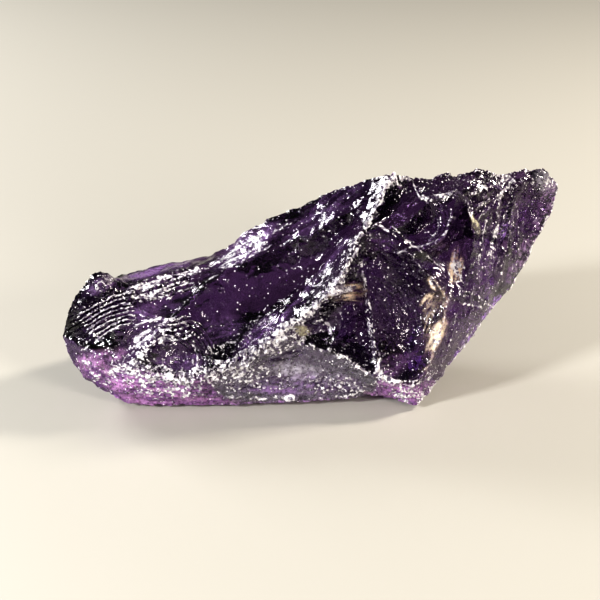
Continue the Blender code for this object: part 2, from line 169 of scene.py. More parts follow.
# Corners of the outline over the top, left to right: pixel across, pixel down, depth.
TOP_OUTLINE = {
    "left_end": (62, 335, -5.2),
    "knob_1": (68, 312, -5.0),
    "knob_2": (78, 292, -4.6),
    "knob_3": (90, 276, -4.0),
    "knob_top": (103, 271, -3.2),
    "knob_notch": (114, 277, -1.6),
    "shelf_back_1": (124, 274, 1.6),
    "shelf_back_2": (165, 264, 3.2),
    "shelf_back_3": (208, 256, 3.8),
    "brow_1": (226, 249, 3.0),
    "brow_2": (245, 232, 2.2),
    "brow_3": (270, 219, 1.7),
    "brow_4": (300, 207, 1.3),
    "brow_5": (330, 192, 0.9),
    "brow_6": (353, 185, 0.3),
    "brow_7": (375, 178, -0.4),
    "crest_top": (393, 173, -1.2),
    "saw_1": (412, 178, 0.3),
    "saw_2": (430, 179, 1.5),
    "saw_3": (447, 172, 2.2),
    "saw_4": (456, 177, 3.1),
    "saw_5": (477, 170, 3.8),
    "saw_6": (490, 171, 4.3),
    "saw_7": (498, 176, 5.2),
    "cap_1": (522, 170, 6.4),
    "cap_2": (542, 169, 7.2),
    "cap_3": (552, 177, 7.8),
    "right_end": (558, 187, 8.0),
}

# Corners of the outline down the right side and along the base, right to left.
LOW_OUTLINE = {
    "heel_1": (554, 205, 7.3),
    "heel_2": (544, 226, 6.5),
    "heel_3": (534, 243, 5.9),
    "heel_4": (525, 263, 5.1),
    "heel_5": (511, 287, 4.0),
    "heel_6": (493, 307, 2.4),
    "heel_7": (471, 338, -0.3),
    "heel_8": (452, 362, -2.6),
    "heel_9": (438, 380, -4.8),
    "heel_10": (428, 394, -6.6),
    "foot": (416, 406, -7.8),
    "rim_1": (396, 399, -7.2),
    "rim_2": (372, 395, -6.8),
    "rim_3": (345, 399, -7.0),
    "rim_4": (300, 402, -7.3),
    "rim_5": (262, 403, -7.4),
    "rim_6": (235, 405, -7.6),
    "rim_7": (190, 405, -7.6),
    "rim_8": (150, 405, -7.6),
    "rim_9": (128, 403, -7.5),
    "toe_1": (106, 392, -7.4),
    "toe_2": (86, 380, -7.0),
    "toe_3": (71, 358, -6.2),
}

# Corners inside the outline on the front.
FRONT_CORNERS = {
    # The long bright crest, from the top down to the toe.
    "crest_1": (383, 192, -2.4),
    "crest_2": (374, 212, -3.7),
    "crest_3": (362, 232, -4.8),
    "crest_4": (352, 252, -5.8),
    "crest_5": (343, 272, -6.7),
    "crest_6": (334, 290, -7.4),
    "crest_7": (318, 304, -7.9),
    "crest_8": (300, 317, -8.3),
    "crest_9": (283, 330, -8.7),
    "crest_10": (266, 344, -9.0),
    "crest_11": (248, 357, -9.1),
    "crest_12": (228, 366, -9.1),
    "crest_13": (205, 373, -9.1),
    "crest_14": (186, 380, -9.0),
    "crest_15": (168, 377, -9.0),
    "crest_16": (150, 370, -8.9),
    "crest_17": (132, 366, -8.7),
    "crest_18": (112, 368, -8.3),
    # The apron under the crest, and the nook between them.
    "apron_1": (300, 344, -8.0),
    "apron_2": (330, 351, -8.1),
    "apron_3": (350, 361, -8.2),
    "apron_4": (366, 372, -8.3),
    "apron_5": (380, 377, -8.4),
    "apron_6": (398, 383, -8.5),
    "apron_7": (414, 384, -8.2),
    "apron_8": (428, 379, -7.2),
    "apron_end": (377, 387, -7.8),
    "toe_end": (216, 390, -8.2),
    "nook_1": (340, 330, -6.8),
    "nook_2": (343, 306, -6.2),
    # The seam between the two dark hollows.
    "seam_1": (362, 262, -5.0),
    "seam_2": (367, 290, -5.6),
    "seam_3": (371, 318, -6.3),
    "seam_4": (375, 347, -7.2),
    # The two scoops beside the crest top.
    "scoop_1": (420, 189, -0.9),
    "scoop_2": (427, 203, -2.1),
    "scoop_3": (408, 222, -3.6),
    "scoop_4": (385, 233, -4.3),
    "oval_1": (441, 198, -1.6),
    "oval_2": (455, 194, -1.2),
    "oval_3": (454, 212, -2.5),
    "oval_4": (447, 230, -3.6),
    "oval_5": (437, 243, -4.3),
    "oval_6": (420, 251, -4.8),
    "oval_7": (404, 250, -4.9),
    "oval_8": (394, 240, -4.6),
    # The crack line, the golden ridge and the ledge over it.
    "crack_1": (420, 266, -4.8),
    "crack_2": (437, 284, -4.9),
    "gold_1": (447, 299, -4.7),
    "gold_2": (443, 325, -5.8),
    "gold_3": (436, 350, -6.8),
    "gold_4": (426, 370, -7.7),
    "ledge_1": (437, 260, -2.4),
    "ledge_2": (455, 264, -1.5),
    "knot": (459, 303, -3.6),
    # The fluted flank.
    "flute_a1": (467, 197, 0.6),
    "flute_a2": (471, 218, -0.4),
    "flute_a3": (474, 240, -1.0),
    "flute_a4": (468, 275, -2.2),
    "flute_b1": (487, 187, 2.6),
    "flute_b2": (485, 222, 1.3),
    "flute_b3": (480, 262, -0.6),
    "flute_b4": (471, 305, -2.6),
    "flute_c1": (501, 190, 3.7),
    "flute_c2": (497, 228, 2.4),
    "flute_c3": (491, 268, 0.6),
    "flute_c4": (482, 308, -1.2),
    "flute_d1": (515, 193, 4.6),
    "flute_d2": (510, 220, 3.7),
    "flute_d3": (508, 250, 2.6),
    "flute_d4": (501, 278, 1.6),
    "cap_low_1": (535, 187, 5.8),
    "cap_low_2": (548, 191, 6.8),
    # The striped face, the knob and the shelf at the left end.
    "stripe_1": (80, 347, -7.0),
    "stripe_2": (100, 353, -7.7),
    "stripe_3": (118, 352, -8.2),
    "stripe_4": (126, 330, -7.6),
    "stripe_5": (131, 306, -6.2),
    "knob_low_1": (82, 306, -6.0),
    "knob_low_2": (99, 297, -5.6),
    "knob_low_3": (115, 289, -4.6),
    "shelf_1": (128, 285, -3.0),
    "shelf_2": (165, 275, -1.2),
    "shelf_3": (198, 266, -0.2),
    "shelf_4": (217, 261, 0.5),
    "lip_1": (132, 293, -4.8),
    "lip_2": (150, 298, -5.0),
    "lip_3": (168, 299, -4.7),
    "lip_4": (190, 288, -3.2),
    "lip_5": (208, 275, -1.8),
    # The white band and the small round scoop above the toe.
    "band_1": (148, 345, -8.5),
    "band_2": (160, 332, -8.0),
    "band_3": (172, 320, -7.5),
    "band_4": (195, 299, -5.8),
    "band_5": (217, 278, -3.4),
    "notch_1": (152, 315, -6.9),
    "bowl_1": (150, 356, -8.8),
    "bowl_2": (182, 328, -7.8),
    "bowl_3": (200, 339, -7.9),
    "bowl_4": (212, 356, -8.4),
    # The frosted patch and the rough slope over the big scoop.
    "patch_1": (226, 268, -1.4),
    "patch_2": (242, 262, -1.6),
    "patch_3": (260, 247, -1.0),
    "patch_4": (273, 233, -0.3),
    "slope_1": (292, 240, -1.4),
    "slope_2": (316, 231, -1.9),
    "slope_3": (341, 216, -1.9),
    "slope_4": (365, 204, -1.7),
}

# Corners that the front view hides: x, y and z in millimetres.
BACK_CORNERS = {
    "sole_1": (-16.0, -5.6, 0.0),
    "sole_2": (-7.0, -5.8, 0.0),
    "sole_3": (2.0, -4.9, 0.0),
    "sole_4": (5.4, -4.0, 0.0),
    "sole_5": (8.3, -5.4, 0.0),
    "sole_6": (9.2, -2.8, 0.0),
    "sole_7": (7.6, 1.2, 0.0),
    "sole_8": (3.0, 4.6, 0.0),
    "sole_9": (-6.0, 5.2, 0.0),
    "sole_10": (-13.0, 3.4, 0.0),
    "sole_11": (-17.2, -0.6, 0.0),
    "sole_12": (-17.6, -4.4, 0.0),
    "back_1": (-20.0, -1.4, 6.2),
    "back_2": (-16.4, 4.2, 4.2),
    "back_3": (-10.0, 7.4, 4.6),
    "back_4": (-3.0, 8.8, 6.4),
    "back_5": (4.0, 9.2, 8.6),
    "back_6": (11.0, 9.9, 9.8),
    "back_7": (16.6, 10.3, 12.2),
    "back_8": (20.0, 10.0, 14.0),
    "haunch": (14.0, 5.6, 5.6),
}

# Fracture faces of the front: the rim's corners in order, then inner points (pixel, pixel, depth).
FRONT_FACES = {
    "toe": (
        "crest_13 crest_14 crest_15 crest_16 crest_17 crest_18 toe_1 rim_9 rim_8 rim_7 rim_6 toe_end",
        [(150, 388, -8.7), (190, 392, -8.6), (125, 383, -8.5)],
    ),
    "apron": (
        "toe_end crest_13 crest_12 crest_11 crest_10 crest_9 apron_1 apron_2 apron_3 apron_4 apron_5 "
        "apron_end rim_2 rim_3 rim_4 rim_5 rim_6",
        [(255, 380, -8.0), (300, 376, -7.5), (340, 384, -7.5)],
    ),
    "foot_band": (
        "apron_end apron_5 apron_6 apron_7 apron_8 heel_9 heel_10 foot rim_1 rim_2",
        [(405, 393, -8.0)],
    ),
    "nook": (
        "crest_6 crest_7 crest_8 crest_9 apron_1 apron_2 nook_1 nook_2",
        [(324, 322, -6.2), (312, 334, -6.8)],
    ),
    "dark_hollow": (
        "crest_4 crest_5 crest_6 nook_2 nook_1 apron_2 apron_3 apron_4 apron_5 seam_4 seam_3 seam_2 seam_1",
        [(356, 292, -4.2), (357, 325, -5.0), (360, 350, -6.2)],
    ),
    "deep_hollow": (
        "crest_3 scoop_4 oval_8 oval_7 crack_1 crack_2 gold_1 gold_2 gold_3 gold_4 apron_7 apron_6 apron_5 "
        "seam_4 seam_3 seam_2 seam_1 crest_4",
        [(378, 258, -3.6), (398, 290, -3.6), (412, 325, -4.4), (402, 355, -5.8)],
    ),
    "upper_scoop": (
        "crest_top saw_1 scoop_1 scoop_2 scoop_3 scoop_4 crest_3 crest_2 crest_1",
        [(400, 198, -1.0), (389, 216, -2.2)],
    ),
    "oval_scoop": (
        "scoop_2 oval_1 oval_2 oval_3 oval_4 oval_5 oval_6 oval_7 oval_8 scoop_4 scoop_3",
        [(432, 222, -1.8), (416, 236, -2.7)],
    ),
    "saw_slope": (
        "saw_1 saw_2 saw_3 saw_4 saw_5 saw_6 flute_b1 flute_a1 oval_2 oval_1 scoop_2 scoop_1",
        [(445, 186, 0.8), (467, 183, 1.8)],
    ),
    "black_pit": (
        "oval_2 flute_a1 flute_a2 flute_a3 ledge_2 ledge_1 oval_6 oval_5 oval_4 oval_3",
        [(461, 215, 2.0), (457, 240, 1.0), (446, 252, -0.8)],
    ),
    "gold_ledge": (
        "oval_7 oval_6 ledge_1 ledge_2 flute_a3 flute_a4 knot gold_1 crack_2 crack_1",
        [(450, 280, -2.9), (430, 268, -3.4)],
    ),
    "flute_a": (
        "flute_a1 flute_b1 flute_b2 flute_b3 flute_b4 knot flute_a4 flute_a3 flute_a2",
        [(478, 240, 0.6)],
    ),
    "flute_b": ("flute_b1 flute_c1 flute_c2 flute_c3 flute_c4 flute_b4 flute_b3 flute_b2", [(489, 240, 1.9)]),
    "flute_c": ("flute_c1 flute_d1 flute_d2 flute_d3 flute_d4 flute_c4 flute_c3 flute_c2", [(502, 240, 3.1)]),
    "cap": (
        "saw_6 saw_7 cap_1 cap_2 cap_3 right_end cap_low_2 cap_low_1 flute_d1 flute_c1 flute_b1",
        [(525, 179, 5.2), (545, 180, 6.6)],
    ),
    "cheek": (
        "flute_d1 cap_low_1 cap_low_2 right_end heel_1 heel_2 heel_3 heel_4 heel_5 heel_6 flute_c4 flute_d4 "
        "flute_d3 flute_d2",
        [(530, 210, 6.4), (522, 240, 5.1), (508, 285, 3.0)],
    ),
    "heel_face": (
        "knot flute_b4 flute_c4 heel_6 heel_7 heel_8 heel_9 apron_8 apron_7 gold_4 gold_3 gold_2 gold_1",
        [(468, 322, -2.6), (450, 350, -4.6)],
    ),
    "striped_face": (
        "left_end knob_1 knob_low_1 knob_low_2 knob_low_3 shelf_1 lip_1 stripe_5 stripe_4 stripe_3 stripe_2 "
        "stripe_1",
        [(95, 325, -6.3), (112, 315, -5.7)],
    ),
    "knob": (
        "knob_1 knob_2 knob_3 knob_top knob_notch shelf_1 knob_low_3 knob_low_2 knob_low_1",
        [(95, 285, -5.4), (108, 281, -4.4)],
    ),
    "shelf": (
        "knob_notch shelf_back_1 shelf_back_2 shelf_back_3 brow_1 shelf_4 shelf_3 shelf_2 shelf_1",
        [],
    ),
    "lip": ("shelf_1 shelf_2 shelf_3 shelf_4 lip_5 lip_4 lip_3 lip_2 lip_1", [(160, 287, -3.6)]),
    "window": (
        "lip_1 lip_2 lip_3 lip_4 lip_5 shelf_4 patch_1 band_5 band_4 band_3 notch_1 stripe_5",
        [(160, 307, -5.3), (190, 296, -4.1)],
    ),
    "cheek_left": (
        "stripe_5 notch_1 band_3 band_2 band_1 crest_17 stripe_3 stripe_4",
        [(140, 335, -7.4), (130, 350, -8.0)],
    ),
    "heel_left": (
        "left_end stripe_1 stripe_2 stripe_3 crest_17 crest_18 toe_1 toe_2 toe_3",
        [(95, 366, -8.0)],
    ),
    "band": ("crest_17 band_1 band_2 bowl_1 crest_16", []),
    "bowl": (
        "crest_16 bowl_1 band_2 bowl_2 bowl_3 bowl_4 crest_13 crest_14 crest_15",
        [(177, 352, -7.6), (192, 362, -8.0)],
    ),
    "big_scoop": (
        "band_2 band_3 band_4 band_5 patch_1 patch_2 patch_3 patch_4 slope_1 slope_2 slope_3 slope_4 crest_1 "
        "crest_2 crest_3 crest_4 crest_5 crest_6 crest_7 crest_8 crest_9 crest_10 crest_11 crest_12 crest_13 "
        "bowl_4 bowl_3 bowl_2",
        [
            (350, 225, -2.0),
            (330, 262, -3.4),
            (300, 294, -4.7),
            (268, 322, -6.1),
            (230, 350, -7.7),
            (240, 295, -3.2),
            (290, 265, -2.0),
            (205, 318, -6.1),
        ],
    ),
    "patch": ("shelf_4 brow_1 brow_2 brow_3 patch_4 patch_3 patch_2 patch_1", [(245, 247, 0.0)]),
    "slope": (
        "brow_3 brow_4 brow_5 brow_6 brow_7 crest_top crest_1 slope_4 slope_3 slope_2 slope_1 patch_4",
        [(310, 218, 0.1), (350, 200, -0.4)],
    ),
}

# Fracture faces of the back: the rim's corners in order, then inner points (x, y, z in millimetres).
BACK_FACES = {
    "sole": (
        "sole_1 sole_2 sole_3 sole_4 sole_5 sole_6 sole_7 sole_8 sole_9 sole_10 sole_11 sole_12",
        [],
    ),
    "sole_rim": (
        "heel_10 foot rim_1 rim_2 rim_3 rim_4 rim_5 rim_6 rim_7 rim_8 rim_9 toe_1 "
        "sole_12 sole_1 sole_2 sole_3 sole_4 sole_5",
        [],
    ),
    "left_under": ("toe_1 toe_2 toe_3 left_end back_1 sole_11 sole_12", [(-19.6, -4.2, 2.6)]),
    "knob_back": (
        "left_end knob_1 knob_2 knob_3 knob_top knob_notch shelf_back_1 back_2 back_1",
        [(-19.6, -1.6, 8.6)],
    ),
    "left_back": ("back_1 back_2 sole_10 sole_11", [(-16.6, 2.0, 2.4)]),
    "shelf_back": ("shelf_back_1 shelf_back_2 shelf_back_3 brow_1 back_4 back_3 back_2", [(-10.0, 5.2, 6.6)]),
    "brow_back": ("brow_1 brow_2 brow_3 brow_4 brow_5 back_5 back_4", [(0.0, 4.8, 11.2)]),
    "crest_back": ("brow_5 brow_6 brow_7 crest_top saw_1 saw_2 saw_3 back_6 back_5", [(8.0, 5.0, 13.2)]),
    "saw_back": ("saw_3 saw_4 saw_5 saw_6 saw_7 cap_1 back_7 back_6", [(14.5, 6.8, 14.0)]),
    "cap_back": ("cap_1 cap_2 cap_3 right_end heel_1 heel_2 back_8 back_7", [(20.5, 8.1, 15.6)]),
    "tip_under": ("back_7 back_8 heel_2 heel_3 heel_4 heel_5 haunch", [(17.0, 6.0, 9.2)]),
    "heel_under": (
        "haunch heel_5 heel_6 heel_7 heel_8 heel_9 heel_10 sole_5 sole_6 sole_7",
        [(11.6, 0.6, 2.9)],
    ),
    "flank_right": ("back_5 back_6 back_7 haunch sole_7 sole_8", [(8.8, 6.2, 5.2)]),
    "flank_middle": ("back_4 back_5 sole_8 sole_9", [(-0.4, 6.4, 3.4)]),
    "flank_left": ("back_2 back_3 back_4 sole_9 sole_10", [(-9.4, 5.4, 2.4)]),
}


class Tint(Enum):
    """Colours of crushed quartz, hazy skin and stains."""

    WHITE = (0.97, 0.94, 0.96)
    LAVENDER = (0.35, 0.20, 0.46)
    # Painted glow of light let through the thin lower edge, over real haze.
    PINK_GLOW = (0.45, 0.24, 0.53)
    # Painted shade: the hollows, the black pit, the hidden faces and dark crack lines.
    PAINTED_SHADE = (0.026, 0.009, 0.042)
    # Painted shade, a dark plum.
    PLUM_SHADE = (0.13, 0.05, 0.19)
    # Painted warm glint.
    GOLD = (1.0, 0.80, 0.62)
    # Painted yellowish glint.
    YELLOW_GLINT = (0.80, 0.75, 0.52)
    PALE = (0.50, 0.46, 0.54)
    # Painted rose glow of light let through the thin lower edge, over real haze.
    ROSE_GLOW = (0.66, 0.35, 0.66)


@dataclass(frozen=True)
class Break:
    """How one fracture face broke, and what covers it. Heights and lengths are in millimetres.

    The rings are ripples round the centre, and the rays are hackles that fan out of it. Frost, haze and dust
    run from 0 to 1. The frost also carries painted glints, the haze carries painted shade, glow and glints by
    its tint, and the dust's white specks are partly painted glints.
    """

    centre: Corner
    rings: float = 0.02
    ring_length: float = 0.8
    rays: float = 0.02
    grain: float = 0.012
    chips: float = 0.0
    frost_and_glints: float = 0.0
    haze: float = 0.0
    tint: Tint = Tint.LAVENDER
    dust: float = 0.7

    @classmethod
    def hidden(
        cls, centre: Corner, rings: float, ring_length: float, rays: float, haze: float, chips: float = 0.0
    ) -> "Break":
        """A face that the front view hides: under a dark haze of painted shade, which darkens what is seen
        through the front, and with less dust than the front.
        """
        return cls(centre, rings, ring_length, rays, chips=chips, haze=haze, tint=Tint.PAINTED_SHADE, dust=HIDDEN_DUST_AND_GLINTS)


@dataclass(frozen=True)
class FrostLine:
    """A ridge that is crushed white: its corners, half its width, how white and how lumpy it is."""

    path: str
    reach: float
    strength: float
    lump: float = 0.04
    tint: Tint = Tint.WHITE


@dataclass(frozen=True)
class Crack:
    """A crack or a fine crushed edge on the front: its corners and its half width, in the view's pixels."""

    corners: tuple[Pair, ...]
    reach: float
    frost_and_glints: float
    lift: float = 0.03
    tint: Tint = Tint.WHITE


@dataclass(frozen=True)
class Chatter:
    """A family of sharp ripples on the front, in pixels of the front view.

    They ring a centre, between two radii and two bearings. Bearings are in degrees, from across to down.
    Their cover is painted glints along the ripple crests, white or tinted; their lift is real relief.
    """

    centre: Pair
    radii: Pair
    bearings: Pair
    spacing: float
    lift: float
    frost_and_glints: float
    waver: float = 1.0
    tint: Tint = Tint.WHITE


@dataclass(frozen=True)
class FlakePatch:
    """A patch of flakes on the front, in pixels of the front view.

    It is an ellipse. A flake has a length and a width, and the gap is the share of the cover between flakes.
    Patches with the shade, glow and glint tints are painted light and shade.
    """

    centre: Pair
    half: Pair
    turn: float
    frost_and_glints: float
    tint: Tint = Tint.WHITE
    flake: Pair = (4.0, 2.5)
    lift: float = 0.02
    gap: float = 0.35


CRACKS = [
    Crack(((66, 350), (75, 370), (88, 384), (104, 396), (122, 404)), 1.2, 0.55, 0.04),
    # The window's crack, which runs on under the frosted patch.
    Crack(
        ((125, 358), (145, 342), (163, 325), (183, 304), (205, 283), (226, 268), (250, 257), (272, 245)),
        1.0,
        0.80,
    ),
    Crack(((134, 326), (146, 321), (160, 319)), 1.3, 0.85, 0.05),
    Crack(((180, 283), (181, 295), (179, 306)), 0.8, 0.35),
    Crack(((195, 346), (198, 356), (197, 369)), 1.0, 0.6),
    Crack(((131, 306), (128, 318), (130, 330)), 1.0, 0.45),
    Crack(((92, 326), (94, 334), (100, 340), (106, 344)), 1.0, 0.5),
    # Beside the crest.
    Crack(((347, 240), (330, 262), (310, 287), (282, 320)), 2.4, 0.30, 0.10, Tint.LAVENDER),
    Crack(((371, 227), (380, 226), (388, 231)), 1.3, 0.85, 0.08),
    # The upper scoop's and the oval scoop's rims.
    Crack(((411, 180), (416, 190), (421, 199), (432, 197), (443, 195), (456, 190)), 1.2, 0.85, 0.08),
    Crack(
        ((443, 198), (451, 206), (451, 218), (445, 232), (436, 241), (420, 247), (409, 248), (398, 253)),
        1.3,
        0.85,
    ),
    Crack(((441, 208), (441, 220), (436, 233), (429, 240)), 1.0, 0.7),
    Crack(((398, 253), (388, 250), (384, 245)), 0.9, 0.45),
    Crack(((392, 227), (402, 235), (409, 244), (422, 252), (434, 262), (443, 270)), 1.0, 0.85, 0.05),
    # Round the pit and the flutes.
    Crack(((456, 190), (465, 198), (471, 212), (477, 230), (480, 246)), 1.2, 0.30, 0.05, Tint.PALE),
    Crack(((475, 208), (488, 200), (500, 194)), 1.4, 0.7, 0.08),
    Crack(((478, 219), (488, 209), (497, 199), (508, 187)), 1.3, 0.7, 0.08),
    Crack(((498, 226), (494, 238), (490, 256)), 1.8, 0.95, 0.10),
    Crack(((508, 186), (515, 200), (518, 215), (518, 235), (515, 255), (509, 285)), 0.9, 0.55),
    Crack(((503, 190), (499, 205), (496, 214)), 1.0, 0.5),
    Crack(((448, 272), (452, 269), (458, 273), (461, 280), (456, 283), (450, 280), (448, 272)), 0.9, 0.7),
    Crack(((456, 283), (461, 290), (459, 306), (452, 330), (447, 350), (441, 366)), 1.1, 0.6, 0.05),
    Crack(((452, 288), (448, 300), (444, 312)), 1.0, 0.6, 0.05),
    Crack(((461, 290), (474, 295), (488, 304), (499, 311)), 1.2, 0.65, 0.05),
    # The nook's shell, the seam and the foot.
    Crack(((313, 323), (321, 320), (329, 325), (333, 338)), 1.3, 0.85, 0.06),
    Crack(((364, 280), (366, 300), (368, 322), (371, 340), (374, 362)), 1.3, 0.55, 0.06),
    Crack(((373, 340), (380, 355), (379, 369)), 1.1, 0.6, 0.05),
    Crack(((386, 348), (381, 362), (375, 371)), 0.9, 0.5),
    Crack(((375, 383), (393, 382), (412, 382), (430, 378)), 1.2, 0.7, 0.05),
    # A painted rose glow along the foot's lower edge.
    Crack(((365, 392), (385, 394), (400, 400), (414, 406)), 0.9, 0.55, 0.02, Tint.ROSE_GLOW),
    Crack(((310, 398), (328, 398), (345, 396), (362, 391)), 1.6, 0.6, 0.06),
    Crack(((225, 398), (240, 396), (262, 399), (283, 397), (297, 400)), 1.6, 0.75, 0.08),
    # A painted rose glow along the toe's lower edge.
    Crack(((120, 395), (135, 402), (155, 404)), 1.4, 0.6, 0.05, Tint.ROSE_GLOW),
]

# In order: the striped face, the shelf, the bowl, the window, the deep hollow, the oval scoop, the cheek,
# the warm glint, the toe and the foot.
# All of them paint glints along their ripple crests, over real ripple relief.
CHATTERS = [
    Chatter((144, 400), (76, 111), (-131, -94), 4.2, 0.18, 3.4, 2.8),
    Chatter((253, 572), (288, 312), (-115, -98), 3.9, 0.12, 1.0, 1.8),
    Chatter((172, 360), (14, 46), (-150, 20), 4.6, 0.07, 0.22, 0.8),
    Chatter((168, 270), (46, 74), (65, 100), 5.2, 0.14, 1.1, 1.6),
    Chatter((352, 330), (38, 66), (-60, -18), 4.0, 0.05, 0.16, 0.5, Tint.PALE),
    Chatter((425, 222), (14, 27), (-60, 75), 4.2, 0.07, 0.30, 0.6, Tint.LAVENDER),
    Chatter((500, 160), (38, 66), (28, 66), 2.7, 0.05, 0.22, 0.4, Tint.LAVENDER),
    Chatter((330, 480), (178, 195), (-90, -77), 3.6, 0.08, 0.50, 1.6, Tint.GOLD),
    Chatter((210, 94), (280, 312), (86, 112), 3.4, 0.06, 0.45, 2.4, Tint.ROSE_GLOW),
    Chatter((330, 240), (160, 180), (52, 72), 3.2, 0.06, 0.30, 1.2, Tint.ROSE_GLOW),
]

